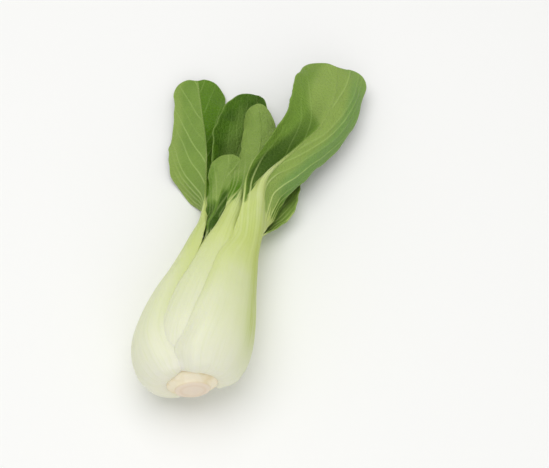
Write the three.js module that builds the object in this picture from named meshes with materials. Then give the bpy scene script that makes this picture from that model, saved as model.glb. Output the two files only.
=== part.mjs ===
// A head of baby bok choy, cut from its root and lying on its side, in millimetres.
// The leaves grow from a short stem in a golden-angle spiral, the outermost first. Each leaf is a broad white
// stalk, which swells and wraps round the head at its foot, narrows to a neck and runs on as the midrib of a
// green blade. The stalk with its midrib is one mesh and the blade that lies behind the midrib is another.
// The leaves are laid out with Y along the head from the bulb's foot to the tips, X to the right and Z up. The
// finished group is moved so that its origin is in the middle of its footprint, on the surface that it lies on.
import * as THREE from "three";

// ---- the head ----
const GOLDEN_ANGLE = 137.5; // degrees from each leaf to the next
const FIRST_AZIMUTH = 37; // degrees, of the outermost leaf: 0 is to the right and 90 is up
const INWARD_PER_RANK = 0.065; // the share of the bulb's radius by which each leaf lies further in
const THINNER_PER_RANK = 0.05; // the share by which each leaf's stalk is thinner than the one outside it
const OUTER_LEAVES = 5; // these are made with more facets: [rows up the stalk, rows along the rib, columns]
const STALK_FACETS = { outer: [15, 9, 8], inner: [11, 6, 6] };
const BLADE_FACETS = { outer: [14, 8], inner: [9, 6] }; // [rows, columns]
const STALK_SPACING = 1.35; // exponent: rows closer together at the foot
const BLADE_SPACING = [1.5, 1.15]; // exponents: rows closer together at the tip and at the neck
const CURVE_PIECES = 600; // into which a midrib is cut to measure it
const SECTION_PIECES = 10; // into which half a blade's section is cut
const FOOT_STEP = 2.1; // each leaf starts this much further up the stem
const STEP_FADES = [10, 70]; // [y, y]: between these the leaves come level with each other
const GAP = 0.3; // clearance between neighbours
const FLOOR_Z = 0.5; // the surface that the head lies on, which presses a small flat spot under the bulb

// ---- the axis of the head ----
// [y, x] and [y, z]: where it lies at each distance from the foot
const AXIS_X = [[-6, 4], [8, -0.5], [22, -2], [44, -1.4], [57, -0.3], [74, 0.8], [94, 2.6], [110, 4]];
const AXIS_Z = [[-6, 25.5], [8, 25.8], [22, 25.8], [44, 23.2], [74, 19.4], [94, 17], [110, 15.2]];
const FOOT_TILT = 0.3; // the foot slants, and comes out by this much for each mm to the left
const TILT_RUN = 60; // the slant has faded out this far up

// ---- the stem: its profile as [radius, y], from the growing point down to the middle of the cut face ----
const STEM_PROFILE = [[0, 28], [1, 26], [4.4, 13], [8.2, 2.4], [9.4, 0], [9.3, -2], [8.9, -4.5], [0, -4.5]];
const STEM_SIDES = 24;

// ---- the outermost stalk: its middle surface as [y, radius], from the stem to below the neck ----
const STALK_PROFILE = [
  [1.4, 10.7], [-1.2, 14.2], [-0.8, 19.7], [5, 24.9], [17, 27.7],
  [31, 26.9], [44, 24.8], [57, 21.6], [72, 18.8], [82, 17.6],
];
// [y, degrees]: how far it wraps round the head on each side of its middle
const STALK_WRAP = [[3, 66], [8, 65], [17, 58], [27, 53], [40, 50], [60, 49], [75, 42], [90, 34], [100, 30]];
// [y, mm]: how thick it is along its middle
const STALK_THICKNESS = [[-1, 2.4], [3, 3], [8, 4.6], [16, 6.5], [28, 7.2], [45, 6.3], [82, 5.2], [100, 4.6]];
const STALK_EDGE = 1.0; // thickness at its margins
const STALK_TAPER = 1.5; // exponent: how fast it thins from its middle to its margins
const WRAP_ENDS = [-15, 10]; // mm from the neck: between these it stops curling round the head
const NECK_RUN = 25; // mm below the neck over which it narrows to the neck's width

// ---- the midrib and the blade ----
const RIB_HEIGHT = 2.8; // above the blade, where the blade starts
const RIB_HALF = 2.6; // half its width, RIB_RUN further on
const RIB_TIP = 0.8; // the same at its end
const RIB_TIP_HEIGHT = 0.7; // its height at its end
const LEAST_RIB = 0.35; // mm, how thick the rib's edges are
const RIB_RUN = 22; // over which the stalk narrows to the midrib
const RIB_RISES = 12; // mm below the neck over which the stalk moves out to stand wholly in front of the blade
const RIB_ENDS = 14; // before the tip
const BLADE_OPENS = 20; // mm above the neck over which the blade leaves the curl of the stalk for its own bend
const BLADE_THICKNESS = 0.8;
const BLADE_LOWEST = FLOOR_Z + 1.1; // a blade's middle surface comes no lower
const TIP_HALF = 1.5; // half the width of the blade's last row
const TIP_ROUND = 0.28; // the share of the blade over which its tip rounds off
const TIP_POWER = 2.5; // 2 is an ellipse, and more is blunter
const LEAST_BEND = 8; // mm, the tightest radius to which a blade's base is curled
const LEAST_WRAP = 4; // mm, the tightest radius to which a stalk is curled
const SIDE_PHASE = 2; // radians by which the waves of one margin run ahead of the other's

const DEG = Math.PI / 180;
const clamp = (x, a, b) => Math.min(b, Math.max(a, x));
const smooth = (a, b, x) => {
  const t = clamp((x - a) / (b - a), 0, 1);
  return t * t * (3 - 2 * t);
};
const lerp = (a, b, t) => a + (b - a) * t;

// The value at x of a smooth line through [x, value] pairs.
function along(pairs, x) {
  const last = pairs.length - 1;
  if (x <= pairs[0][0]) return pairs[0][1];
  if (x >= pairs[last][0]) return pairs[last][1];
  const i = pairs.findIndex((p) => p[0] > x) - 1;
  const slope = (j) => {
    const a = pairs[Math.max(0, j - 1)];
    const b = pairs[Math.min(last, j + 1)];
    return (b[1] - a[1]) / (b[0] - a[0]);
  };
  const [x0, y0] = pairs[i];
  const [x1, y1] = pairs[i + 1];
  const h = x1 - x0;
  const t = (x - x0) / h;
  return y0 * (1 + 2 * t) * (1 - t) ** 2 + slope(i) * h * t * (1 - t) ** 2
    + y1 * t * t * (3 - 2 * t) + slope(i + 1) * h * t * t * (t - 1);
}

const axisX = (y) => along(AXIS_X, y);
const axisZ = (y) => along(AXIS_Z, y);

// ---- the leaves, outermost first ----
// path: points of the midrib, from the neck, where the blade starts, to the tip
// neckHalf: half the stalk's width at the neck
// face: which way the outer face looks at the neck, halfway along the blade and at its tip, in degrees as azimuth
// width: [share of the blade's length, left half width, right half width], as seen from outside with the tip up
// bend: [share of the length, left fold, right fold, left cup, right cup]: degrees that each half turns inwards at
// the midrib, and that it turns further by its margin
// wave: height, number and phase (in radians) of the waves along the margins
const WIDE = [[0, 0.45, 0.45], [0.12, 0.62, 0.62], [0.4, 0.95, 0.95], [0.62, 1, 1], [1, 0.9, 0.9]];
const wide = (left, right) => WIDE.map(([t, l, r]) => [t, l * left, r * right]);
const cupped = (fold, cup) => [[0, fold, fold, cup, cup], [1, fold, fold, cup, cup]];

const LEAVES = [
  { // the biggest, on the upper right: its left half is folded back into a channel and its tip is flat and blunt
    path: [
      [15.2, 90, 29], [14.1, 103, 30], [15.3, 118, 30.5], [24.3, 140.5, 29],
      [36.7, 161, 27], [43, 185, 23], [41, 205, 18],
    ],
    neckHalf: 9, face: [50, 62, 80],
    width: [[0, 8, 9], [0.1, 9, 13], [0.3, 15, 18], [0.55, 18.5, 17.5], [0.8, 22, 17], [1, 22, 19]],
    bend: [
      [0, 20, 20, 20, 20], [0.25, 55, 12, -90, 25], [0.5, 50, 10, -80, 25],
      [0.75, 15, 5, -20, 15], [1, 5, 5, 0, 10],
    ],
    wave: [1.2, 3, 0],
  },
  { // on the left, lying flat
    path: [
      [-12.5, 96, 17.5], [-14.5, 108, 17.5], [-16.8, 120, 17], [-21.4, 142, 15], [-28, 162, 12], [-35.5, 188, 8],
    ],
    neckHalf: 6.5, face: [165, 98, 85],
    width: [[0, 6, 5], [0.12, 14, 5], [0.35, 22, 8], [0.6, 21, 17], [0.85, 18, 22], [1, 17, 20]],
    bend: [
      [0, 15, 15, 20, 20], [0.15, 8, 70, 12, 0], [0.4, 8, 75, 12, -10], [0.65, 8, 32, 12, 0], [1, 5, 12, 10, 5],
    ],
    wave: [1, 2.5, 1],
  },
  { // underneath, on the right
    path: [[12.3, 88, 6], [15, 108, 3.8], [21, 136, 2.3], [28, 160, 3]],
    neckHalf: 7.5, face: [312, 280, 270], width: wide(14, 13), bend: cupped(8, 15), wave: [0.8, 3, 2],
  },
  { // in the middle, between the first two
    path: [[3, 96, 28.5], [5, 114, 28], [8.5, 135, 25], [9.5, 153, 21], [6, 176, 16]],
    neckHalf: 6.5, face: [90, 95, 95], width: wide(11, 13), bend: cupped(12, 25), wave: [1, 2.5, 3],
  },
  { // underneath, on the left
    path: [[-5.3, 95, 7.8], [-6.5, 118, 8.5], [-5, 146, 9], [0, 180, 11]],
    neckHalf: 6.5, face: [227, 262, 270],
    width: [[0, 6, 5], [0.12, 9, 4], [0.35, 13, 8], [0.62, 15, 18], [1, 15, 16]],
    bend: [[0, 10, 10, 20, 20], [0.3, 5, 18, 10, 25], [1, 5, 15, 15, 20]], wave: [1, 2.5, 1],
  },
  { // inside, on the right
    path: [[13.6, 95, 17.2], [18.5, 117, 16.5], [25.5, 137, 15.5], [30.5, 154, 14]],
    neckHalf: 5.5, face: [4, 35, 50], width: wide(5.5, 8), bend: cupped(15, 10), wave: [0.6, 2.5, 4],
  },
  { // inside, on the upper left
    path: [[-5.8, 90, 22.3], [-6, 104, 24.2], [-6.2, 119, 23], [-5.5, 136, 20]],
    neckHalf: 6.5, face: [140, 108, 90],
    width: [[0, 6, 5], [0.25, 4.6, 4], [0.7, 10, 4.5], [1, 12, 7]], bend: cupped(10, 12), wave: [0.6, 2, 5],
  },
  { // underneath, inside
    path: [[4.3, 95, 8.2], [8.3, 117, 10.5], [12.5, 137, 12], [15, 154, 13.5]],
    neckHalf: 5.5, face: [280, 278, 275], width: wide(9.5, 7.8), bend: cupped(5, 15), wave: [0.6, 2, 0],
  },
  { // heart
    path: [[7.3, 94, 23.3], [9.5, 110, 23.5], [13, 124, 22]],
    neckHalf: 4.5, face: [57, 62, 70], width: wide(7, 4.5), bend: cupped(10, 20), wave: [0.5, 2, 1],
  },
  { // heart
    path: [[-3.4, 92, 14.5], [-3, 105, 16], [-2, 117, 16.5]],
    neckHalf: 4.2, face: [195, 200, 210], width: wide(5, 5), bend: cupped(10, 30), wave: [0.4, 2, 2],
  },
  { // heart
    path: [[8, 93, 14.2], [9.4, 106, 15.2], [10.8, 117, 16]],
    neckHalf: 3.8, face: [332, 330, 325], width: wide(4, 4.5), bend: cupped(10, 30), wave: [0.4, 2, 3],
  },
  { // the innermost
    path: [[1.6, 90, 20.8], [2.2, 101, 20.5], [3, 111, 20]],
    neckHalf: 3.2, face: [110, 110, 110], width: wide(4.5, 4.5), bend: cupped(10, 30), wave: [0.3, 2, 4],
  },
].map((leaf, rank) => ({
  ...leaf,
  rank,
  azimuth: FIRST_AZIMUTH + GOLDEN_ANGLE * rank,
  name: "leaf_" + String(rank + 1).padStart(2, "0"),
}));

// Each column of a table at t: the first column holds the places, and the others the values.
function columnsAt(table, t) {
  const columns = table[0].slice(1);
  return columns.map((_, column) => along(table.map((row) => [row[0], row[column + 1]]), t));
}

// The head's slanted foot: a point of the straight head moved to its place in the real one.
function slanted(p) {
  const share = 1 - smooth(0, TILT_RUN, p.y);
  return new THREE.Vector3(p.x, p.y + FOOT_TILT * (p.x - axisX(p.y)) * share, p.z);
}

// How much further up the head a leaf lies at height y than the outermost one does.
const stepUp = (leaf, y) => leaf.rank * FOOT_STEP * (1 - smooth(...STEP_FADES, y));

// The midrib's line, from the stem to the tip, and the length along it at which the neck lies.
function midribOf(leaf) {
  const share = 1 - leaf.rank * INWARD_PER_RANK;
  const angle = leaf.azimuth * DEG;
  const points = STALK_PROFILE.map(([y, radius]) => {
    const up = y + stepUp(leaf, y);
    const r = radius * share;
    return new THREE.Vector3(axisX(up) + r * Math.cos(angle), up, axisZ(up) + r * Math.sin(angle));
  });
  const neckIndex = points.length;
  points.push(...leaf.path.map((p) => new THREE.Vector3(...p)));
  const curve = new THREE.CatmullRomCurve3(points, false, "centripetal");
  curve.arcLengthDivisions = CURVE_PIECES;
  const lengths = curve.getLengths();
  const neck = lengths[Math.round((neckIndex / (points.length - 1)) * curve.arcLengthDivisions)];
  return { curve, neck, length: curve.getLength() };
}

// The middle surface of a leaf: at(l, x) is the point at length l along the midrib and x across it, x > 0 on the
// side of growing azimuth.
function surfaceOf(leaf, midrib) {
  const { curve, neck, length } = midrib;
  const halfway = neck + (length - neck) / 2;
  const neckPoint = curve.getPointAt(neck / length);
  const reach = Math.hypot(neckPoint.x - axisX(neckPoint.y), neckPoint.z - axisZ(neckPoint.y));
  const neckRadius = Math.max(reach, LEAST_BEND);
  const [waveHeight, waveCount, wavePhase] = leaf.wave;

  function wrapped(point, x) { // turned about the head's axis
    const cx = point.x - axisX(point.y);
    const cz = point.z - axisZ(point.y);
    const r = Math.hypot(cx, cz);
    const a = Math.atan2(cz, cx) + x / Math.max(r, LEAST_WRAP);
    return new THREE.Vector3(axisX(point.y) + r * Math.cos(a), point.y, axisZ(point.y) + r * Math.sin(a));
  }

  function spread(l, point, x) { // laid out in the leaf's own section
    const tangent = curve.getTangentAt(clamp(l / length, 0, 1));
    const face = leaf.face[0] + (leaf.face[1] - leaf.face[0]) * smooth(neck, halfway, l)
      + (leaf.face[2] - leaf.face[1]) * smooth(halfway, length, l);
    const hint = new THREE.Vector3(Math.cos(face * DEG), 0, Math.sin(face * DEG));
    const out = hint.addScaledVector(tangent, -hint.dot(tangent)).normalize();
    const across = new THREE.Vector3().crossVectors(out, tangent);
    const side = x >= 0 ? 0 : 1;
    const t = clamp((l - neck) / (length - neck), 0, 1);
    const bend = columnsAt(leaf.bend, t);
    const margin = Math.max(columnsAt(leaf.width, t)[side], Math.abs(x));
    const open = smooth(neck, neck + BLADE_OPENS, l);
    let sx = 0;
    let sy = 0;
    for (let i = 0; i < SECTION_PIECES; i++) {
      const r = (Math.abs(x) * (i + 0.5)) / SECTION_PIECES;
      const blade = -(bend[side] + (bend[2 + side] * r) / margin) * DEG;
      const turn = lerp(-r / neckRadius, blade, open);
      sx += (Math.cos(turn) * Math.abs(x)) / SECTION_PIECES;
      sy += (Math.sin(turn) * Math.abs(x)) / SECTION_PIECES;
    }
    sy += waveHeight * open * (Math.abs(x) / margin) ** 2
      * Math.sin(2 * Math.PI * waveCount * t + wavePhase + side * SIDE_PHASE);
    return point.clone().addScaledVector(across, Math.sign(x) * sx).addScaledVector(out, sy);
  }

  return (l, x) => {
    const point = curve.getPointAt(clamp(l / length, 0, 1));
    const t = smooth(neck + WRAP_ENDS[0], neck + WRAP_ENDS[1], l);
    const place = slanted(wrapped(point, x));
    if (t > 0) place.lerp(spread(l, point, x), t);
    return t < 1 ? place : place.setZ(Math.max(place.z, BLADE_LOWEST));
  };
}

// Half the width of the stalk, and of the midrib that it runs on as, at length l.
function stalkHalf(leaf, midrib, l, y, radius) {
  const wrap = along(STALK_WRAP, y - stepUp(leaf, y)) * DEG * radius;
  const atNeck = lerp(wrap, leaf.neckHalf, smooth(midrib.neck - NECK_RUN, midrib.neck, l));
  if (l < midrib.neck) return atNeck;
  const rib = lerp(RIB_HALF, RIB_TIP, (l - midrib.neck) / (midrib.length - midrib.neck));
  return lerp(leaf.neckHalf, rib, smooth(midrib.neck, midrib.neck + RIB_RUN, l));
}

// Half the width of the blade on each side.
function bladeHalf(leaf, midrib, l) {
  const t = clamp((l - midrib.neck) / (midrib.length - midrib.neck), 0, 1);
  const round = (1 - clamp((t - 1 + TIP_ROUND) / TIP_ROUND, 0, 1) ** TIP_POWER) ** (1 / TIP_POWER);
  return columnsAt(leaf.width, t).map((half) => Math.max(TIP_HALF, half * round));
}

// Points of a surface moved out along its own normals by offset(i, j).
function offsetGrid(grid, offset) {
  const rows = grid.length;
  const columns = grid[0].length;
  return grid.map((row, i) => row.map((p, j) => {
    const du = grid[i][Math.min(columns - 1, j + 1)].clone().sub(grid[i][Math.max(0, j - 1)]);
    const dl = grid[Math.min(rows - 1, i + 1)][j].clone().sub(grid[Math.max(0, i - 1)][j]);
    const normal = dl.cross(du).normalize();
    return p.clone().addScaledVector(normal, offset(i, j));
  }));
}

// One closed body between an outer and an inner grid, both split into triangles alike.
function closedSheet(outer, inner) {
  const rows = outer.length;
  const columns = outer[0].length;
  const position = [...outer.flat(), ...inner.flat()].flatMap((p) => [p.x, p.y, p.z]);
  const under = rows * columns;
  const index = [];
  const quad = (a, b, c, d) => index.push(a, b, c, a, c, d);
  for (let i = 0; i < rows - 1; i++) {
    for (let j = 0; j < columns - 1; j++) {
      const a = i * columns + j;
      const b = a + columns;
      index.push(a, b, b + 1, a, b + 1, a + 1);
      index.push(under + a, under + b + 1, under + b, under + a, under + a + 1, under + b + 1);
    }
    const left = i * columns;
    const right = left + columns - 1;
    quad(left, under + left, under + left + columns, left + columns);
    quad(right, right + columns, under + right + columns, under + right);
  }
  for (let j = 0; j < columns - 1; j++) {
    const top = (rows - 1) * columns + j;
    quad(j, j + 1, under + j + 1, under + j);
    quad(top, under + top, under + top + 1, top + 1);
  }
  const geometry = new THREE.BufferGeometry();
  geometry.setAttribute("position", new THREE.Float32BufferAttribute(position, 3));
  geometry.setIndex(index);
  geometry.computeVertexNormals();
  return geometry;
}

const steps = (n) => Array.from({ length: n + 1 }, (_, i) => i / n);

// Places from one margin to the other, -1 to 1, closer together towards the margins.
const acrossLeaf = (n) => steps(n).map((t) => Math.sin((t - 0.5) * Math.PI));

function stalkGeometry(leaf, midrib, surface) {
  const end = midrib.length - RIB_ENDS;
  const [stalkRows, ribRows, columns] = leaf.rank < OUTER_LEAVES ? STALK_FACETS.outer : STALK_FACETS.inner;
  const lengths = [
    ...steps(stalkRows).map((t) => t ** STALK_SPACING * midrib.neck),
    ...steps(ribRows).slice(1).map((t) => midrib.neck + t * (end - midrib.neck)),
  ];
  const across = acrossLeaf(columns);
  const thinner = 1 - THINNER_PER_RANK * leaf.rank;
  const rows = lengths.map((l) => {
    const point = midrib.curve.getPointAt(l / midrib.length);
    const radius = Math.hypot(point.x - axisX(point.y), point.z - axisZ(point.y));
    const half = stalkHalf(leaf, midrib, l, point.y, radius);
    const middle = l < midrib.neck
      ? along(STALK_THICKNESS, point.y - stepUp(leaf, point.y)) * thinner
      : 2 * lerp(RIB_HEIGHT * thinner, RIB_TIP_HEIGHT, smooth(midrib.neck, end, l));
    const behind = smooth(midrib.neck - RIB_RISES, midrib.neck, l); // 1 where it is wholly in front of the blade
    return { l, half, middle, behind };
  });
  const grid = rows.map(({ l, half }) => across.map((u) => surface(l, u * half)));
  const thickness = (i, j) => {
    const bulge = 1 - Math.abs(across[j]) ** STALK_TAPER;
    const edge = Math.min(STALK_EDGE, rows[i].middle);
    return (edge + (rows[i].middle - edge) * bulge) / 2;
  };
  const outer = offsetGrid(grid, (i, j) => Math.max(thickness(i, j), rows[i].behind * (GAP + LEAST_RIB)));
  outer.flat().forEach((p) => p.setZ(Math.max(p.z, FLOOR_Z)));
  const inner = offsetGrid(grid, (i, j) => lerp(-thickness(i, j), GAP, rows[i].behind));
  return closedSheet(outer, inner);
}

function bladeGeometry(leaf, midrib, surface) {
  const blade = midrib.length - midrib.neck;
  const [rows, columns] = leaf.rank < OUTER_LEAVES ? BLADE_FACETS.outer : BLADE_FACETS.inner;
  const [tip, neck] = BLADE_SPACING;
  const lengths = steps(rows).map((t) => midrib.neck + blade * (1 - (1 - t) ** tip) ** neck);
  const grid = lengths.map((l) => {
    const [left, right] = bladeHalf(leaf, midrib, l);
    return acrossLeaf(columns).map((u) => surface(l, u * (u < 0 ? right : left)));
  });
  const outer = offsetGrid(grid, () => -GAP / 2);
  const inner = offsetGrid(grid, () => -GAP / 2 - BLADE_THICKNESS);
  return closedSheet(outer, inner);
}

const stalkMaterial = new THREE.MeshStandardMaterial({ color: 0xdfe6bd, roughness: 0.45, metalness: 0 });
const bladeMaterial = new THREE.MeshStandardMaterial({ color: 0x5d8a33, roughness: 0.6, metalness: 0 });
const stemMaterial = new THREE.MeshStandardMaterial({ color: 0xe6d3b4, roughness: 0.7, metalness: 0 });

const head = new THREE.Group();

function addMesh(name, geometry, material) {
  const mesh = new THREE.Mesh(geometry, material);
  mesh.name = name;
  head.add(mesh);
  return mesh;
}

// The stem: a stub with a flat cut face, and the cone inside the head that the leaves grow from.
function stemGeometry() {
  const profile = STEM_PROFILE.map(([radius, y]) => new THREE.Vector2(radius, y)).reverse();
  const geometry = new THREE.LatheGeometry(profile, STEM_SIDES);
  const p = geometry.getAttribute("position");
  for (let i = 0; i < p.count; i++) {
    const y = p.getY(i);
    const moved = slanted(new THREE.Vector3(p.getX(i) + axisX(y), y, p.getZ(i) + axisZ(y)));
    p.setXYZ(i, moved.x, moved.y, moved.z);
  }
  return geometry;
}
addMesh("stem", stemGeometry(), stemMaterial);

for (const leaf of LEAVES) {
  const midrib = midribOf(leaf);
  const surface = surfaceOf(leaf, midrib);
  addMesh(leaf.name + "_stalk", stalkGeometry(leaf, midrib, surface), stalkMaterial);
  addMesh(leaf.name + "_blade", bladeGeometry(leaf, midrib, surface), bladeMaterial);
}

// The middle of the footprint goes to the origin, and the surface underneath to z = 0.
const box = new THREE.Box3().setFromObject(head);
const middle = box.getCenter(new THREE.Vector3());
head.position.set(-middle.x, -middle.y, -FLOOR_Z);

const bokChoy = new THREE.Group();
bokChoy.add(head);

export default bokChoy;
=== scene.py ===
"""A head of baby bok choy lying on its side, modelled round its plain CAD solids.

The head's stem stub and its leaves are made again as fine meshes: each leaf is one continuous piece, from
the swollen foot of its stalk through the neck to the waved and veined blade. The leaves are laid out in
millimetres, with Y along the head from the bulb's foot to the tips, X to the right and Z up, and are then
moved to the frame's own origin and to metres.
"""

import math

import bmesh
import bpy
import numpy as np
from bpy.props import FloatProperty, FloatVectorProperty, IntProperty, PointerProperty
from mathutils import Matrix, Vector


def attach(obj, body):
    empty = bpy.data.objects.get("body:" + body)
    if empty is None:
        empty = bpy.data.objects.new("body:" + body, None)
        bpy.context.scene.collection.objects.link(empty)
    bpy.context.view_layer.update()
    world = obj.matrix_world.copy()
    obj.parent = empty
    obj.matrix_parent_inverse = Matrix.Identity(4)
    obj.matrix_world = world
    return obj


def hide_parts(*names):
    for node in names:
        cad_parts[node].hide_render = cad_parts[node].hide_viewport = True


bl_info = {
    "name": "Bok Choy",
    "version": (1, 0, 0),
    "blender": (4, 5, 0),
    "location": "View3D > Sidebar > Bok Choy",
    "description": "Builds a head of baby bok choy: its cut stem, its leaves and a plain studio",
    "category": "Mesh",
}

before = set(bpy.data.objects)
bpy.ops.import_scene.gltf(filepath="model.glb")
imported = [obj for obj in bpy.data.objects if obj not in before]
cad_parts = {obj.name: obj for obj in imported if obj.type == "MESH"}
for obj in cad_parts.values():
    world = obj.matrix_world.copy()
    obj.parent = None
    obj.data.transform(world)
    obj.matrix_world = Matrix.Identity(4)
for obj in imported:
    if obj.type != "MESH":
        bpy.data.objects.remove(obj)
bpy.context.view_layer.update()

MM = 0.001

# ---- the head ----
GOLDEN_ANGLE = 137.5  # degrees from each leaf to the next
FIRST_AZIMUTH = 37  # degrees, of the outermost leaf: 0 is to the right and 90 is up
INWARD_PER_RANK = 0.065  # the share of the bulb's radius by which each leaf lies further in
THINNER_PER_RANK = 0.05  # the share of the outermost stalk's thickness by which each is thinner
FOOT_STEP = 2.1  # mm by which each leaf starts further up the stem
STEP_FADES = (10, 70)  # mm up the head, between which those steps run out
OUTER_LEAVES = 5  # those that are laid out with the finest grid
FLOOR_Z = 0.5  # mm, the floor's height in the leaves' own layout
ORIGIN = np.array((4.864, 98.92, FLOOR_Z))  # the frame's origin, in the leaves' own layout

# ---- the axis of the head: (y, x) and (y, z) ----
AXIS_X = ((-6, 4), (8, -0.5), (22, -2), (44, -1.4), (57, -0.3), (74, 0.8), (94, 2.6), (110, 4))
AXIS_Z = ((-6, 25.5), (8, 25.8), (22, 25.8), (44, 23.2), (74, 19.4), (94, 17), (110, 15.2))
FOOT_TILT = 0.3  # mm up the head for each mm to the right, by which the foot slants
TILT_RUN = 60  # mm up the head where it no longer does

# ---- the stem: its profile as (radius, y), from the middle of the cut face to where the leaves grow ----
STEM_PROFILE = (
    (0, -4.5), (3, -4.7), (6, -4.75), (7.7, -4.6), (8.3, -4.3), (8.6, -3.8), (8.9, -3.2), (9.6, -2.7),
    (10.6, -2.3), (11.5, -1.9), (12.2, -1.2), (12.5, 0), (12.2, 1.4), (9.6, 3.8), (4.4, 13), (1, 26), (0, 28),
)

# ---- the stalks: places are mm up the head, for the outermost leaf ----
STALK_PROFILE = (  # (place, distance of the stalk's middle from the axis)
    (4.6, 7.6), (1.4, 10.7), (-1.2, 14.2), (-0.8, 19.7), (5, 24.9), (17, 27.7), (31, 26.9), (44, 24.8),
    (57, 21.6), (72, 18.8), (82, 17.6),
)
STALK_WRAP = (  # (place, degrees that each half reaches round the head)
    (3, 73), (8, 69), (13, 63), (20, 56.5), (27, 53), (40, 50), (60, 49), (75, 42), (90, 34), (100, 30),
)
STALK_THICKNESS = (  # (place, mm)
    (-1, 2.4), (3, 3), (8, 4.6), (16, 6.5), (28, 7.2), (45, 6.3), (82, 5.2), (100, 4.6),
)
STALK_EDGE = 1.0  # mm thick at its margins
STALK_TAPER = 1.5  # the power by which it thins towards them
NECK_RUN = 25  # mm before the neck over which a stalk narrows to it
WRAP_ENDS = (-15, 10)  # mm from the neck over which a leaf leaves the head's round
LEAST_WRAP = 4  # mm, the least radius that a stalk wraps round
PRESS_BEGINS = (10, 19)  # mm from the stem over which the margins press in more, and then ease
PRESS_EASES = (26, 50)
PRESS_ENDS = 12  # mm before the neck where they start to let go of the leaf inside
PRESSED = (0.6, 1)  # the share of the half width over which they press on it

# ---- the midribs and blades ----
RIB_AT_NECK = 2.6  # mm high, on the outermost leaf
RIB_TIP = 0.45  # mm, half its width at the tip
RIB_TIP_HEIGHT = 0.3  # mm, before it sinks into the blade
RIB_RISES = 12  # mm before the neck over which a stalk's section becomes that of a midrib and blade
RIB_ROUNDS = (-5, 15)  # mm from the neck over which the midrib's section becomes round
RIB_ENDS = (14, 2)  # mm from the tip between which it sinks into the blade
BLADE_BEGINS = (-6, 4)  # mm from the neck over which the leaf takes the blade's width
BLADE_OPENS = 20  # mm from the neck over which it takes the blade's own folds
BLADE_THICKNESS = 0.8
BLADE_SET_IN = 0.15  # mm by which its outer face lies behind the middle surface
BLADE_LOWEST = FLOOR_Z + 1.1  # the least height of that surface
FLOOR_SOFT = 1.5  # mm over which a blade levels out where it meets the floor
THINNED = 0.5  # the share of its thickness that a margin loses
THIN_MARGIN = (0.94, 1)  # the share of the half width over which it does
TIP_HALF = 0.4  # mm, half the width at the very tip
LEAST_BEND = 8  # mm, the least radius of a section at the neck
SIDE_PHASE = 2  # radians by which the waves of one margin run ahead of the other's
SECTION_PIECES = 12  # straight pieces that make up the curve of half a section
CREASE_FADES = ((0.05, 0.25), (0.8, 1))  # the shares of the blade over which a crease begins and ends
CREASE_SOFT = 0.1  # the share of the half width to each side of it over which it turns
NOTCH_RUN = (0.82, 1)  # the share of the blade over which its tip is drawn in
OUTLINE_WAVES = ((2.3, 0.02), (5.2, 0.018), (9.5, 0.012))  # number along the blade and share of its width
OUTLINE_BEGINS = (0.05, 0.3)  # the share of the blade over which they grow
RUFFLES = ((5.5, 0.45), (9.3, 0.22))  # number along the blade and height in mm, at the very margin
RUFFLE_PHASES = (1.7, 2.1)  # how far a leaf's own phase and its side shift them
QUILTING = 0.3  # mm, how far the blade rises and falls between its veins
QUILT_RUNS = (2.9, 1.3, 7, 3.3)  # mm for each radian across; how far that sways, and over how far up; mm up
QUILT_BEGINS = (0, 0.35)  # the share of the half over which it does
RIB_GROOVE = 1.2  # how deep the inner face's groove along the midrib is, in depths of a vein's groove
LEVELS_OUT = (0.6, 1)  # how far a leaf has left the head's round while the floor starts to bear it

# ---- the side veins ----
VEIN_SLOPES = (  # (mm from the neck, mm that a side vein runs along for each mm across)
    (-20, 2.6), (0, 2.2), (20, 1.5), (35, 1.3), (60, 1.6), (120, 1.7),
)
VEIN_CURVE = 0.3  # how much a side vein turns towards the tip by its end
VEIN_WANDER = 0.9  # mm
VEIN_APART = (2.3, 6.5)  # mm between side veins, at the neck and further on
VEIN_APART_RUN = (0, 32)  # mm from the neck
VEIN_UNEVEN = ((0.2, 9.1), (0.12, 5.3))  # counts by which they stray from even places, and mm for each radian
VEIN_BROAD = (0.75, 0.4)  # mm, half a side vein's width where it stands out, at the midrib and at its end
VEIN_BEGINS = (-4, 10)  # mm from the neck over which they rise
VEIN_CROWDED = (0.8, 2.4)  # mm between veins from which they fade where they run together
VEIN_LEAST_TURN = 0.06  # counts of veins for each mm, where they run furthest apart
VEIN_SINKS = 0.8  # how far a side vein sinks into the blade
VEIN_ENDS = (0.6, 1)  # over which share of the half
VEIN_HIDDEN = 0.9  # how far it goes under the midrib
VEIN_SHIFT = 6  # radians, the most by which chance moves those uneven places
VEIN_WANDER_RUNS = (3.1, 9)  # mm for each radian across the blade and up it
VEIN_WANDERS = (0, 4)  # mm from the midrib over which they begin to
VEINS_FROM = -90  # mm from the neck, where the count begins
VEIN_PLACES = 600  # places at which it is worked out
MIDRIB_PLACES = 400  # places at which the midrib's width is read
ALWAYS_NARROWER = 1e-6  # for each mm, so that no two of those widths are the same
COUNTS_FROM = (20, 60)  # where each side's own numbers start, left and right
TINY_STEP = 1e-6  # mm, so that nothing is divided by 0
LEAST_NORMAL = 1e-9  # for the same reason

# ---- the grid of a leaf ----
FOOT_ROWS = 1.35  # the power by which rows crowd towards the foot
TIP_ROWS = 1.25  # and towards the tip
MARGIN_COLUMNS = 0.5  # how far columns crowd towards the margins
LEAST_ROWS = 40  # rows of a blade, at the least
INNER_SHARE = (2, 3)  # 2 of every 3 rows and columns are left on an inner leaf

WIDE = ((0, 0.45, 0.45), (0.12, 0.62, 0.62), (0.4, 0.95, 0.95), (0.62, 1, 1), (1, 0.9, 0.9))


def wide(left, right):
    """Half widths that follow the usual outline of a blade."""
    return tuple((t, l * left, r * right) for t, l, r in WIDE)


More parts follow.
